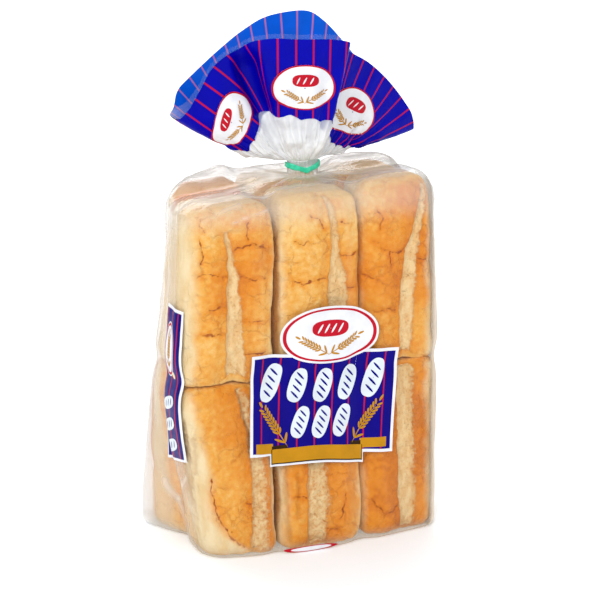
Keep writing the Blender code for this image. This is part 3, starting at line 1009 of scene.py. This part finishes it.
def skin_looks(roll, grid, marks):
    """What the crust's material reads at each point, and at the two poles after them."""
    most_split = 6.0 if roll.crisp > 0.52 else 0.4
    looks = {
        "split": (np.clip(marks["into"] / MM * roll.crisp, -6.0, most_split), -6.0),
        "gap": (np.clip(marks["gap"] / MM, 0.0, 6.0), 6.0),
        "pale": (marks["pale"], 0.0),
        # Painted shade also lies along the folds of the pale sides, as a soft shadow line.
        "deep": (np.maximum(marks["deep"], 0.35 * marks["fold"]), 0.0),
        "toast": (roll_toast(roll, grid, marks), 0.3),
    }
    return {name: np.append(skin.ravel(), [pole, pole]) for name, (skin, pole) in looks.items()}


def end_notch(roll, height, place, facing):
    """How far the split's lower end is drawn up on a roll of the top tier, in metres."""
    low_end = (1.0 - rise(height - roll.bottom * MM, 0, 16)) * (roll.bottom > 0)
    middle = split_of(roll, height)[0]
    return END_NOTCH * low_end * bell(place - middle, 0.0, END_NOTCH_WIDTH) * ease(facing, -0.2, 0.5)


def behind_film(x, y, height):
    """Holds points of a roll inside the film where it sinks in between rolls and tiers."""
    hollow = ROLL_VALLEY_DEPTH * bell(np.abs(x), ROLL_WIDTH / 2, ROLL_VALLEY_WIDTH)
    reach = HALF_DEPTH - hollow - WAIST_DEPTH * bell(height, TIER_HEIGHT, WAIST_WIDTH) - FILM_CLEARANCE
    return np.clip(y, -reach, reach)


def under_film(x, y, height):
    """Holds points of a back roll under the film where it curves in over the block's top edge."""
    edge = np.minimum(HALF_WIDTH - np.abs(x), HALF_DEPTH - np.abs(y))
    over_edge = np.sqrt(1.0 - (1.0 - np.clip(edge / SHOULDER_ROUND, 0.0, 1.0)) ** 2)
    top = BODY_HEIGHT + (top_height(x, y) - BODY_HEIGHT) * over_edge
    return np.minimum(height, top - TOP_CLEARANCE)


def roll_place(roll, points):
    """Moves points from a roll's own frame, with its crust outward, to their place in the settled block."""
    facing = -1.0 if roll.row == 0 else 1.0
    crest = ROLL_DEPTH * ROWS / 2 - CROWN
    x = roll.column * ROLL_WIDTH + roll.shift * MM - facing * points[..., 0]
    y = behind_film(x, facing * (crest + points[..., 1] - CREST_CLEARANCE), points[..., 2])
    move_x, move_y = settle(x, y, points[..., 2])
    height = under_film(x, y, points[..., 2]) if roll.row else points[..., 2]
    return np.stack([x + move_x, y + move_y, height], axis=-1)


def smooth_loaf(roll, around, along, fineness):
    """The smooth loaf as rows of points in its own frame, crust outward, and its two poles."""
    length = (roll.top - roll.bottom) * MM - ROLL_GAP
    across, outward = cross_section(roll, around, fineness)
    share, girth = end_profile(roll, along, length)
    height = (roll.bottom + roll.top) / 2 * MM + share * length / 2
    grid = np.empty((along, around, 3))
    grid[..., 0] = girth[:, None] * across
    grid[..., 1] = girth[:, None] * outward
    grid[..., 2] = height[:, None]
    return grid, [[0.0, 0.0, height.mean() + end * length / 2] for end in (-1, 1)]


def loaf_faces(around, along):
    """A roll's quads, wound outward, with a fan of triangles to each pole."""
    faces = grid_faces(along, around)[:, ::-1].tolist()
    low_pole, top_pole, last = along * around, along * around + 1, (along - 1) * around
    for i in range(around):
        after = (i + 1) % around
        faces += [[i, after, low_pole], [last + after, last + i, top_pole]]
    return faces


def make_roll(roll, finish):
    """One split-top roll, standing on end in its place in the block."""
    around, along, fineness = BACK_ROLL_GRID if roll.row else FRONT_ROLL_GRID
    grid, poles = smooth_loaf(roll, around, along, fineness)
    normals = grid_normals(grid)
    place = grid[..., 0] if roll.row else roll_place(roll, grid)[..., 0] - roll.column * ROLL_WIDTH
    marks = roll_marks(roll, grid, normals, place)
    looks = skin_looks(roll, grid, marks)
    notch = end_notch(roll, grid[..., 2], place, normals[..., 1])
    grid = grid + normals * roll_relief(roll, grid, marks)[..., None]
    grid[..., 2] += notch
    points = np.vstack([grid.reshape(-1, 3), poles])
    points[:, 2] = np.maximum(points[:, 2], roll.bottom * MM + LEAST_GROUND_GAP)
    return new_piece(roll.name, roll_place(roll, points), loaf_faces(around, along), finish, "bread", looks)


# ---- print

def oval_shape(centre, half_width, half_height, tilt=0.0, hole=0.0, rings=8, spokes=72, power=2.0):
    """A flat oval or ring of points and faces. hole is the share of its size that is left open."""
    turn = turns(spokes)
    size = np.linspace(max(hole, 0.02), 1.0, rings)[:, None]
    a = size * rounded(np.cos(turn), 2 / power) * half_width
    b = size * rounded(np.sin(turn), 2 / power) * half_height
    cos, sin = np.cos(np.radians(tilt)), np.sin(np.radians(tilt))
    points = np.stack([centre[0] + a * cos - b * sin, centre[1] + a * sin + b * cos], axis=-1)
    return points.reshape(-1, 2), grid_faces(rings, spokes)


def patch_shape(corners, across=40, up=40):
    """A flat four-sided patch. corners are lower left, lower right, upper right and upper left."""
    s, t = np.meshgrid(np.linspace(0, 1, across + 1), np.linspace(0, 1, up + 1))
    points = between(*np.array(corners, float), s[..., None], t[..., None])
    return points.reshape(-1, 2), grid_faces(up + 1, across + 1, closed=False)


def box_shape(left, low, right, top, across=40, up=40):
    """A flat upright rectangle."""
    return patch_shape(((left, low), (right, low), (right, top), (left, top)), across, up)


def arc_shape(start, end, bulge, half_height, across=48, up=4):
    """A flat ribbon that runs from start to end in a shallow arc. bulge is how high it stands in between."""
    t, side = np.meshgrid(np.linspace(0, 1, across + 1), np.linspace(-1, 1, up + 1))
    a = start[0] + (end[0] - start[0]) * t
    b = start[1] + (end[1] - start[1]) * t + bulge * np.sin(np.pi * t) + side * half_height
    return np.stack([a, b], axis=-1).reshape(-1, 2), grid_faces(up + 1, across + 1, closed=False)


def wheat_shapes(foot, tip, grains=7, size=1.0):
    """An ear of wheat: a stalk, pairs of slanting grains, one at the tip and two leaves, as flat ovals."""
    foot, tip = np.array(foot, float), np.array(tip, float)
    length = np.linalg.norm(tip - foot)
    along = (tip - foot) / length
    beside = np.array([-along[1], along[0]])
    slope = np.degrees(np.arctan2(along[1], along[0]))

    def blade(share, aside, half_length, half_width, turned=0.0):
        centre = foot + along * length * share + beside * aside * size
        return oval_shape(centre, half_length * size, half_width * size, slope + turned, spokes=18, rings=3)

    stalk = (foot + tip) / 2 - along * length * 0.1
    shapes = [oval_shape(stalk, length * 0.42, 0.4 * size, slope, spokes=20, rings=3)]
    for k in range(grains):
        shapes += [blade(0.34 + 0.62 * k / grains, side * 1.7, 2.1, 0.72, side * 34) for side in (-1, 1)]
    shapes.append(blade(1.0, 0.0, 2.4, 0.8))
    return shapes + [blade(0.16, side * 2.3, 3.6, 0.8, side * 40) for side in (-1, 1)]


def inked(colour, layer, shapes):
    """Shapes with their colour and their layer, counted from the film."""
    return [(colour, layer, shape) for shape in shapes]


def loaf_sign(colour, cut_colour, layer, centre, half_width, half_height, slashes, tilt=0.0):
    """A bread roll as a sign: its body, and the slashes over it in another colour."""
    body = oval_shape(centre, half_width, half_height, tilt, power=2.6)
    cuts = []
    for k in range(slashes):
        a = half_width * 1.5 * ((k + 0.5) / slashes - 0.5)
        middle = (centre[0] + a * np.cos(np.radians(tilt)), centre[1] + a * np.sin(np.radians(tilt)))
        cuts.append(oval_shape(middle, half_height * 0.62, half_height * 0.12, tilt + 62, spokes=20, rings=3))
    return inked(colour, layer, [body]) + inked(cut_colour, layer + 1, cuts)


def blurred(values, rounds):
    """A grid of numbers, each replaced by a weighted mean of itself and its neighbours a few times over."""
    for _ in range(rounds):
        padded = np.pad(values, 1, mode="edge")
        values = (padded[:-2, 1:-1] + 2 * values + padded[2:, 1:-1]) / 4
        padded = np.pad(values, 1, mode="edge")
        values = (padded[1:-1, :-2] + 2 * values + padded[1:-1, 2:]) / 4
    return values


def least_nearby(values):
    """A grid of numbers, each replaced by the least of itself and its eight neighbours."""
    rows, columns = values.shape
    padded = np.pad(values, 1, mode="edge")
    return np.min([padded[i:i + rows, j:j + columns] for i in range(3) for j in range(3)], axis=0)


def on_film(start, direction, tree, low, high, step=1.5):
    """A way to lay print on the film, resting on its outermost ripples and as smooth as a taut sheet.

    start gives where the ray for a flat place begins. low and high bound the flat places, in millimetres.
    """
    across, up = np.arange(low[0], high[0] + step, step), np.arange(low[1], high[1] + step, step)
    hits = [[tree.ray_cast(Vector(start(a, b)), Vector(direction))[3] for a in across] for b in up]
    reach = np.array(hits, float)
    reach = blurred(least_nearby(np.where(np.isnan(reach), np.nanmean(reach), reach)), 3)

    def place(flat, lift):
        column = np.clip((flat[:, 0] - across[0]) / step, 0.0, len(across) - 1.001)
        row = np.clip((flat[:, 1] - up[0]) / step, 0.0, len(up) - 1.001)
        i, j = row.astype(int), column.astype(int)
        corners = reach[i, j], reach[i, j + 1], reach[i + 1, j + 1], reach[i + 1, j]
        distance = between(*corners, column - j, row - i) - lift
        return np.array([start(a, b) for a, b in flat]) + np.array(direction) * distance[:, None]

    return place


def on_mouth(rim, spot, tilt=0.0, size=1.0):
    """A way to lay print on the mouth round a spot: across runs along the rim, and up runs towards it."""
    rows, span, climb = 200, 6, 5
    grid = mouth_points(rim, np.linspace(0.0, 1.0, rows + 1)[:, None])
    outward = grid_normals(grid)
    gap = np.linalg.norm(grid - np.array(spot) * MM, axis=-1)
    row, column = np.unravel_index(np.argmin(gap), gap.shape)
    before, after = (column - span) % FAN_POINTS, (column + span) % FAN_POINTS
    spacing = np.linalg.norm(grid[:, after] - grid[:, before], axis=1) / (2 * span)
    height = np.linalg.norm(grid[row + climb, column] - grid[row - climb, column]) / (2 * climb)
    cos, sin = size * np.cos(np.radians(tilt)), size * np.sin(np.radians(tilt))

    def place(flat, lift):
        a, b = flat[:, 0] * cos - flat[:, 1] * sin, flat[:, 0] * sin + flat[:, 1] * cos
        r = np.clip(row + b * MM / height, 0.0, rows - 0.001)
        c = column + a * MM / np.interp(r, np.arange(rows + 1), spacing)
        i, j = r.astype(int), np.floor(c).astype(int)
        s, t = (c - j)[:, None], (r - i)[:, None]
        j, k = j % FAN_POINTS, (j + 1) % FAN_POINTS
        lifted = grid + outward * lift
        return between(lifted[i, j], lifted[i, k], lifted[i + 1, k], lifted[i + 1, j], s, t)

    return place


def join_shapes(parts):
    """Several meshes as one, without points that no face uses."""
    points, faces = [], []
    for some_points, some_faces in parts:
        used, places = np.unique(some_faces, return_inverse=True)
        faces += (places.reshape(-1, 4) + len(points)).tolist()
        points += some_points[used].tolist()
    return points, faces


def on_label(corners, size, start):
    """Where the ray for a place on a label begins, from the place in millimetres across and up the label.

    start turns the two sizes that the label's corners are given in into that beginning.
    """
    corners = np.array(corners) * MM
    return lambda a, b: start(*between(*corners, a / size[0], b / size[1]))


def towards_camera():
    """The direction from the bag to the camera."""
    return Vector((
        np.sin(CAMERA_AZIMUTH) * np.cos(CAMERA_ELEVATION),
        -np.cos(CAMERA_AZIMUTH) * np.cos(CAMERA_ELEVATION),
        np.sin(CAMERA_ELEVATION),
    ))


def front_label_art():
    """The front label's flat shapes as (colour, layer, shape), in millimetres on the label."""
    wide, high = FRONT_LABEL_SIZE
    left, right, low, top = 2.4, wide - 2.4, 2.4, high - 2.6
    badge, badge_look = (62.5, 95.5), {"spokes": 120, "power": BADGE_POWER}
    art = inked("white", 1, [
        box_shape(0, 0, wide, high, 60, 42),
        oval_shape(badge, 40, 23, rings=20, **badge_look),
        arc_shape((17.5, -1.5), (96.2, -0.3), 3.0, 7.6),
    ])
    art += inked("navy", 2, [box_shape(left, low, right, top, 60, 42)])
    art += inked("white", 4, [oval_shape(badge, 40, 23, rings=20, **badge_look)])
    art += inked("red", 5, [oval_shape(badge, 38.2, 21.3, hole=0.93, rings=3, **badge_look)])
    art += inked("red", 3, [box_shape(9.05 + 14.4 * k, low, 10.15 + 14.4 * k, top, 2) for k in range(8)])
    for foot, tip, grains, size in (
        ((31, 8), (9, 42), 8, 1.2), ((86, 9), (109, 43), 8, 1.2),
        ((62.5, 80), (36, 95), 7, 1.0), ((62.5, 80), (89, 95), 7, 1.0),
    ):
        art += inked("gold", 6, wheat_shapes(foot, tip, grains, size))
    for centre, half_length, half_width in (
        ((17, 59), 16, 7.0), ((38, 56.5), 13.8, 6.8), ((59, 55.5), 13.4, 6.8), ((80, 56.5), 13.8, 6.8),
        ((101.5, 59), 16, 7.0), ((41, 27), 13, 6.2), ((58.5, 26.5), 13, 6.2), ((76, 27), 13, 6.2),
    ):
        art += loaf_sign("paper", "navy", 6, centre, half_length, half_width, 4, tilt=72)
    art += loaf_sign("red", "white", 6, (62.5, 101), 15, 6.6, 4)
    art += inked("gold", 5, [patch_shape(((5, 2.4), (20, 1.5), (20, 9.5), (5, 10.5)), 6, 4),
                             patch_shape(((93, 3.4), (115, 4.4), (115, 12.0), (93, 11.0)), 6, 4)])
    art += inked("brown", 6, [arc_shape((19.0, 5.6), (31, 7.6), 0.2, 1.7, 8, 2),
                              arc_shape((84, 8.2), (95.0, 7.4), 0.2, 1.6, 8, 2)])
    art += inked("brown", 7, [arc_shape((18.6, -1.2), (95.2, 0.0), 3.0, 6.0)])
    return art + inked("gold", 8, [arc_shape((19.2, -0.7), (94.6, 0.5), 3.0, 5.5)])


def side_label_art():
    """The side label's flat shapes, in millimetres on the label."""
    wide, high = SIDE_LABEL_SIZE
    left, right, low, top = 0.6, wide - 2.4, 2.2, high - 2.6
    art = inked("white", 1, [box_shape(0, 0, wide, high, 18, 63)])
    art += inked("dark", 2, [box_shape(left, low, right, top, 16, 60)])
    art += inked("white", 4, [oval_shape((13, 92), 11, 22)])
    art += inked("red", 5, [oval_shape((13, 92), 10.2, 21, hole=0.9, rings=3)])
    art += inked("red", 3, [box_shape(a - 0.7, low, a + 0.7, top, 2, 60) for a in (4, 16, 28)])
    art += inked("gold", 6, wheat_shapes((13, 76), (13, 106), 8, 1.1))
    for b in (13, 31, 49):
        art += loaf_sign("paper", "dark", 6, (15.5, b), 10.5, 5.2, 3, tilt=15)
    return art


def mouth_badge_art():
    """One badge on the mouth's sheet, in millimetres from its middle."""
    look = {"spokes": 110, "power": BADGE_POWER}
    art = inked("white", 1, [oval_shape((0, 0), 26.2, 18.1, rings=20, **look)])
    art += inked("red", 2, [oval_shape((0, 0), 26.2, 18.1, hole=0.94, rings=3, **look)])
    for side in (-1, 1):
        art += inked("gold", 3, wheat_shapes((0, -12), (side * 18, -2), 6, 0.75))
    return art + loaf_sign("red", "white", 3, (0, 6), 10.5, 4.8, 3)


def base_badge_art():
    """The small oval low on the front film."""
    oval = oval_shape((0, 0), 22, 2.5)
    ring = oval_shape((0, 0), 22, 2.5, hole=0.76, rings=3)
    return inked("white", 1, [oval]) + inked("red", 2, [ring])


def make_print(name, art, place, inks, lift=0.0):
    """One piece for each colour of a label's art, laid on the film."""
    for colour in dict.fromkeys(ink for ink, _, _ in art):
        points, faces = join_shapes([(place(shape[0], lift + LAYER * (1 + layer)), shape[1])
                                     for ink, layer, shape in art if ink == colour])
        finish, slot = inks[colour]
        new_piece(f"{name}_{colour}", points, faces, finish, slot)


def make_labels(body_tree, rim):
    """All printed shapes but the mouth's striped field."""
    inks = {colour: (ink_finish(Tree(name), srgb(*screen)), slot) for colour, name, screen, slot in INKS}
    front = on_film(on_label(FRONT_LABEL, FRONT_LABEL_SIZE, lambda x, z: (x, -RAY_START, z)), (0, 1, 0),
                    body_tree, (-4, -14), (125, 124))
    side = on_film(on_label(SIDE_LABEL, SIDE_LABEL_SIZE, lambda y, z: (-RAY_START, -y, z)), (1, 0, 0),
                   body_tree, (-4, -4), (39, 130))
    base = on_film(lambda a, b: (BASE_BADGE[0] + a * MM, -RAY_START, BASE_BADGE[1] + b * MM), (0, 1, 0),
                   body_tree, (-26, -4), (26, 8))
    make_print("front_label", front_label_art(), front, inks)
    make_print("side_label", side_label_art(), side, inks)
    make_print("base_badge", base_badge_art(), base, inks)
    for name, spot, tilt, size in MOUTH_BADGES:
        make_print(name, mouth_badge_art(), on_mouth(rim, spot, tilt, size), inks, INK_LIFT + BADGE_LIFT)


# ---- tie

def make_tie(finish):
    """The green band round the neck, pinched where the film's gathers press through it."""
    turn = turns(TIE_POINTS)
    pinch = 0.35 * MM * layered_noise(round_and_up(turn, 26, 0.0), 1.0, 31, 2)
    rings = []
    for depth, side in TIE_PROFILE:
        reach = GAP + TIE_THICKNESS * depth
        ring = neck_ring(TIE_HEIGHT, TIE_POINTS, NECK_HALF_WIDTH + reach, NECK_HALF_DEPTH + reach)
        slant = TIE_SLANT * (np.abs(ring[:, 0] - NECK_X) / NECK_HALF_WIDTH * 2 - 1)
        out = ring - np.array([NECK_X, 0, TIE_HEIGHT])
        out /= np.linalg.norm(out, axis=1, keepdims=True)
        ring = ring + out * (pinch * depth)[:, None]
        ring[:, 2] += slant + side * (TIE_WIDTH + 2 * pinch)
        rings.append(ring)
    faces = grid_faces(len(rings) + 1, TIE_POINTS) % (len(rings) * TIE_POINTS)
    piece = new_piece("tie_band", np.array(rings), faces, finish, "tie", sharp=60)
    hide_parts("tie")


# ---- materials

def srgb(red, green, blue):
    """A colour given as it looks on a screen, from 0 to 255, as linear values."""
    value = np.array([red, green, blue]) / 255.0
    linear = np.where(value <= 0.04045, value / 12.92, ((value + 0.055) / 1.055) ** 2.4)
    return (*(float(v) for v in linear), 1.0)


class Tree:
    """A material's nodes, with short calls for the ones used here."""

    def __init__(self, name):
        self.material = bpy.data.materials.new(name)
        self.material.use_nodes = True
        self.shader = self.material.node_tree.nodes["Principled BSDF"]
        self.output = self.material.node_tree.nodes["Material Output"]

    def fill(self, node, inputs):
        """Links or writes each value into the node's input of that name or number."""
        for key, value in inputs.items():
            if isinstance(value, bpy.types.NodeSocket):
                self.material.node_tree.links.new(value, node.inputs[key])
            else:
                node.inputs[key].default_value = value

    def finish(self, **inputs):
        """Fills the shader's inputs, with _ for a space in their names. Returns the material."""
        self.fill(self.shader, {name.replace("_", " "): value for name, value in inputs.items()})
        return self.material

    def node(self, kind, inputs, **settings):
        """A new node with its settings and inputs."""
        node = self.material.node_tree.nodes.new("ShaderNode" + kind)
        for name, value in settings.items():
            setattr(node, name, value)
        self.fill(node, inputs)
        return node

    def attribute(self, name):
        return self.node("Attribute", {}, attribute_name=name).outputs["Fac"]

    def place(self):
        return self.node("TexCoord", {}).outputs["Object"]

    def stretched(self, scale):
        return self.node("Mapping", {"Vector": self.place(), "Scale": scale}).outputs["Vector"]

    def shaken(self, scale, amount):
        """The object's coordinates, pushed about by noise so that cells lose their straight edges."""
        push = self.node("TexNoise", {"Vector": self.place(), "Scale": scale}).outputs["Color"]
        inputs = {0: push, 1: (amount, amount, amount), 2: self.place()}
        return self.node("VectorMath", inputs, operation="MULTIPLY_ADD").outputs["Vector"]

    def noise(self, vector, scale, detail=3.0, roughness=0.55):
        inputs = {"Vector": vector, "Scale": scale, "Detail": detail, "Roughness": roughness}
        return self.node("TexNoise", inputs).outputs["Fac"]

    def cells(self, vector, scale, feature="F1"):
        inputs = {"Vector": vector, "Scale": scale}
        return self.node("TexVoronoi", inputs, feature=feature).outputs["Distance"]

    def math(self, operation, a, b=0.0, clamp=False):
        return self.node("Math", {0: a, 1: b}, operation=operation, use_clamp=clamp).outputs[0]

    def times(self, a, b):
        return self.math("MULTIPLY", a, b)

    def swayed(self, value, by, amount, clamp=False):
        """A value moved up and down by a noise, which is centred on 0 and scaled by the amount."""
        return self.math("ADD", value, self.times(self.math("SUBTRACT", by, 0.5), amount), clamp)

    def ramp(self, value, low, high, out_low=0.0, out_high=1.0):
        inputs = {"Value": value, "From Min": low, "From Max": high, "To Min": out_low, "To Max": out_high}
        return self.node("MapRange", inputs, interpolation_type="SMOOTHSTEP").outputs["Result"]

    def mix(self, factor, a, b):
        return self.node("Mix", {0: factor, 6: a, 7: b}, data_type="RGBA").outputs[2]

    def mix_shaders(self, factor, a, b):
        return self.node("MixShader", {0: factor, 1: a.outputs[0], 2: b.outputs[0]})

    def bump(self, height, strength, distance, normal=None):
        inputs = {"Strength": strength, "Distance": distance, "Height": height}
        if normal is not None:
            inputs["Normal"] = normal
        return self.node("Bump", inputs).outputs["Normal"]


def crust_colour(t, place, mottle):
    """Golden skin that turns orange and brown as it is toasted."""
    toast = t.swayed(t.attribute("toast"), mottle, 0.65, True)
    toast = t.swayed(toast, t.noise(place, 1100, 3), 0.45, True)
    crust = t.mix(t.ramp(toast, 0.0, 0.45), srgb(243, 201, 126), srgb(238, 172, 75))
    crust = t.mix(t.ramp(toast, 0.30, 0.80), crust, srgb(229, 140, 35))
    return t.mix(t.ramp(toast, 0.75, 1.20), crust, srgb(196, 96, 20))


def torn_crumb(t):
    """The split's crumb: its colour and how far its pores and tears stand out."""
    pores = t.ramp(t.cells(t.shaken(500, 0.002), 520), 0.10, 0.36)
    torn = t.noise(t.stretched((1.0, 1.0, 0.45)), 210, 4, 0.65)
    crumb = t.mix(pores, srgb(218, 162, 96), srgb(231, 187, 127))
    return t.mix(t.ramp(torn, 0.38, 0.62), crumb, srgb(241, 210, 156)), t.math("ADD", pores, torn)


def crack_line(t, place):
    """How brown the skin is along its cracks, in broken lines."""
    gap = t.swayed(t.attribute("gap"), t.noise(place, 330, 3), 1.3)
    broken = t.ramp(t.noise(place, 120, 3), 0.34, 0.54, 0.5, 1.0)
    return t.times(t.ramp(gap, 0.15, 0.85, 1.0, 0.0), broken)


def bread_material():
    """Golden to orange crust, cream crumb in the split, pale soft sides and brown cracks, with painted shade
    between rolls and along the folds.
    """
    t = Tree("bread_crust")
    place = t.place()
    mottle = t.noise(place, 260, 4)
    crackle = t.ramp(t.cells(t.shaken(170, 0.010), 80, "DISTANCE_TO_EDGE"), 0.0, 0.08, 1.0, 0.0)
    crackle = t.times(crackle, t.ramp(t.noise(place, 40, 2), 0.44, 0.60))
    skin = t.mix(t.times(crackle, 0.30), crust_colour(t, place, mottle), srgb(190, 100, 30))
    streaks = t.noise(t.stretched((1.0, 1.0, 0.3)), 120, 3)
    soft = t.mix(t.ramp(streaks, 0.3, 0.7), srgb(231, 199, 144), srgb(241, 220, 178))
    split = t.swayed(t.attribute("split"), t.noise(place, 330, 5, 0.65), 2.6)
    # A thin brown band along the split's edge: partly crust browned at the lip, partly a painted shadow line.
    rim = t.times(t.ramp(split, -1.2, -0.1), t.ramp(split, 0.0, 0.7, 1.0, 0.0))
    open_skin = t.ramp(split, -0.35, 0.55)
    crumb, crumb_height = torn_crumb(t)
    colour = t.mix(t.times(rim, 0.25), t.mix(t.attribute("pale"), skin, soft), srgb(190, 104, 36))
    colour = t.mix(open_skin, colour, crumb)
    # Painted shade: brown where the skin lies in the dark between two rolls and along the pale sides' folds.
    colour = t.mix(t.times(t.attribute("deep"), 0.9), colour, srgb(168, 100, 20))
    colour = t.mix(crack_line(t, place), colour, srgb(158, 72, 14))
    wrinkles = t.bump(t.noise(place, 420, 5, 0.65), 0.7, 0.0018, t.bump(crackle, 0.5, -0.0010))
    normal = t.bump(t.times(crumb_height, open_skin), 0.5, 0.0013, wrinkles)
    roughness = t.ramp(mottle, 0.3, 0.7, 0.52, 0.68)
    return t.finish(Base_Color=colour, Roughness=roughness, Specular_IOR_Level=0.15, Normal=normal)


def film_material():
    """Clear packing film: milky where its cloud value is high or it is seen at a slant, and glossy on top.
    Its milky colour carries painted bread light and painted shade, and its milkiness at a slant is partly a
    painted reflection.
    """
    t = Tree("clear_film")
    place = t.place()
    crinkle = t.ramp(t.cells(place, 90, "DISTANCE_TO_EDGE"), 0.0, 0.12)
    normal = t.bump(crinkle, 0.2, 0.0006, t.bump(t.noise(place, 350, 3), 0.2, 0.0005))
    facing = t.node("LayerWeight", {"Blend": 0.5}).outputs["Facing"]
    streak = t.times(t.ramp(t.noise(place, 60, 4), 0.5, 0.8), 0.02)
    cloud = t.math("ADD", t.attribute("cloud"), streak)
    # Milkier at a slant: partly the longer way through the haze, partly a painted reflection of the bright
    # surroundings.
    cloud = t.math("ADD", cloud, t.ramp(facing, 0.50, 1.0, 0.0, 0.36), True)
    # Painted bread light: where the film lies over the rolls, its milky part takes their colour.
    tint = t.mix(t.attribute("painted_bread_light"), (0.80, 0.80, 0.79, 1.0), (0.72, 0.57, 0.41, 1.0))
    # Painted shade: the milky part turns grey where the film lies slack over the back rolls.
    tint = t.mix(t.attribute("painted_film_shade"), tint, (0.48, 0.44, 0.38, 1.0))
    t.finish(Base_Color=tint, Roughness=0.35, Specular_IOR_Level=0.3, Normal=normal)
    clear = t.node("BsdfTransparent", {"Color": (0.955, 0.955, 0.95, 1.0)})
    gloss = t.node("BsdfGlossy", {"Color": (0.72, 0.72, 0.73, 1.0), "Roughness": 0.20, "Normal": normal})
    milky = t.mix_shaders(cloud, clear, t.shader)
    whole = t.mix_shaders(t.ramp(facing, 0.0, 1.0, 0.010, 0.16), milky, gloss)
    t.fill(t.output, {"Surface": whole.outputs[0]})
    return t.material


def ink_finish(t, colour):
    """Finishes a tree's material as ink under film: a little uneven in colour, with a low gloss."""
    place = t.place()
    uneven = t.times(t.ramp(t.noise(place, 70, 3), 0.3, 0.7), 0.12)
    return t.finish(
        Base_Color=t.mix(uneven, colour, (0.0, 0.0, 0.0, 1.0)),
        Roughness=t.ramp(t.noise(place, 200, 2), 0.3, 0.7, 0.30, 0.42),
        Normal=t.bump(t.noise(place, 260, 3), 0.2, 0.0006),
        Specular_IOR_Level=0.06,
    )


def striped_material(name, field, stripe):
    """The mouth's print: a blue field with thin stripes at even places across."""
    t = Tree(name)
    across = t.math("DIVIDE", t.attribute("across"), STRIPE_SPACING)
    off = t.math("ABSOLUTE", t.math("SUBTRACT", t.math("FRACT", t.math("ADD", across, 100.0)), 0.5))
    edge = 0.5 * STRIPE_WIDTH / STRIPE_SPACING
    return ink_finish(t, t.mix(t.ramp(off, edge * 0.85, edge * 1.15, 1.0, 0.0), field, stripe))


def tie_material():
    """Turquoise-green plastic band with fine ribs."""
    t = Tree("green_band")
    uneven = t.ramp(t.noise(t.place(), 300, 3), 0.3, 0.7)
    colour = t.mix(uneven, srgb(22, 190, 142), srgb(60, 214, 172))
    normal = t.bump(t.noise(t.stretched((0.3, 0.3, 3.0)), 800, 2), 0.4, 0.0005)
    return t.finish(Base_Color=colour, Roughness=0.38, Normal=normal)


# ---- stage

def make_floor():
    """A plain white floor that runs back out of sight."""
    mesh = bpy.data.meshes.new("floor")
    corners = [(-FLOOR_REACH, -FLOOR_REACH, 0), (FLOOR_REACH, -FLOOR_REACH, 0),
               (FLOOR_REACH, FLOOR_REACH, 0), (-FLOOR_REACH, FLOOR_REACH, 0)]
    mesh.from_pydata(corners, [], [(0, 1, 2, 3)])
    mesh.materials.append(Tree("white_floor").finish(
        Base_Color=(0.93, 0.95, 0.97, 1.0), Roughness=0.9, Specular_IOR_Level=0.1,
        Emission_Color=(0.9, 1.0, 1.0, 1.0), Emission_Strength=0.08,
    ))
    floor = link("floor", mesh)


def aim(thing, target):
    """Turns an object's -Z axis to a point."""
    direction = Vector(target) - thing.location
    thing.rotation_euler = direction.to_track_quat("-Z", "Y").to_euler()


def make_light(name, place, size, power, target=(0.0, 0.0, 0.2)):
    """A soft white box aimed at the middle of the bag, or at another target."""
    data = bpy.data.lights.new(name, "AREA")
    data.shape = "RECTANGLE"
    data.size, data.size_y = size
    data.energy = power
    light = link(name, data)
    light.location = place
    aim(light, target)


def make_stage():
    """Floor, soft studio light and the photograph's camera."""
    make_floor()
    scene = bpy.context.scene
    world = bpy.data.worlds.new("studio")
    world.use_nodes = True
    world.node_tree.nodes["Background"].inputs["Color"].default_value = (1.0, 1.0, 1.0, 1.0)
    world.node_tree.nodes["Background"].inputs["Strength"].default_value = 0.62
    scene.world = world
    make_light("key_light", (-1.3, -1.5, 1.5), (1.2, 1.2), 30.0)
    make_light("fill_light", (1.6, -1.4, 0.9), (1.0, 1.4), 7.0)
    make_light("top_light", (0.1, 0.5, 2.0), (1.4, 1.0), 7.0)
    make_light("backdrop_light", (0.3, 4.5, 3.2), (6.0, 4.0), 260.0, (0.3, 4.5, 0.0))
    camera = link("camera", bpy.data.cameras.new("camera"))
    camera.location = CAMERA_TARGET + towards_camera() * CAMERA_DISTANCE
    camera.data.lens = CAMERA_LENS
    camera.data.sensor_fit = "HORIZONTAL"
    camera.data.sensor_width = CAMERA_SENSOR
    aim(camera, CAMERA_TARGET)
    scene.camera = camera
    scene.view_settings.view_transform = "Standard"
    scene.cycles.transparent_max_bounces = 24


def main():
    """The whole bag with its contents, and the stage."""
    film = film_material()
    bread = bread_material()
    body_tree = make_film_body(film)
    rim = mouth_rim()
    make_mouth_film(rim, film)
    outside = striped_material("print_outside", srgb(3, 2, 160), srgb(184, 16, 44))
    inside = striped_material("print_inside", srgb(4, 92, 210), srgb(186, 110, 160))
    make_mouth_print("mouth_print_outside", rim, 1, outside, "print_blue")
    make_mouth_print("mouth_print_inside", rim, -1, inside, "print_inside")
    for roll in FRONT_ROLLS + BACK_ROLLS:
        make_roll(roll, bread)
    make_labels(body_tree, rim)
    make_tie(tie_material())
    make_stage()


main()
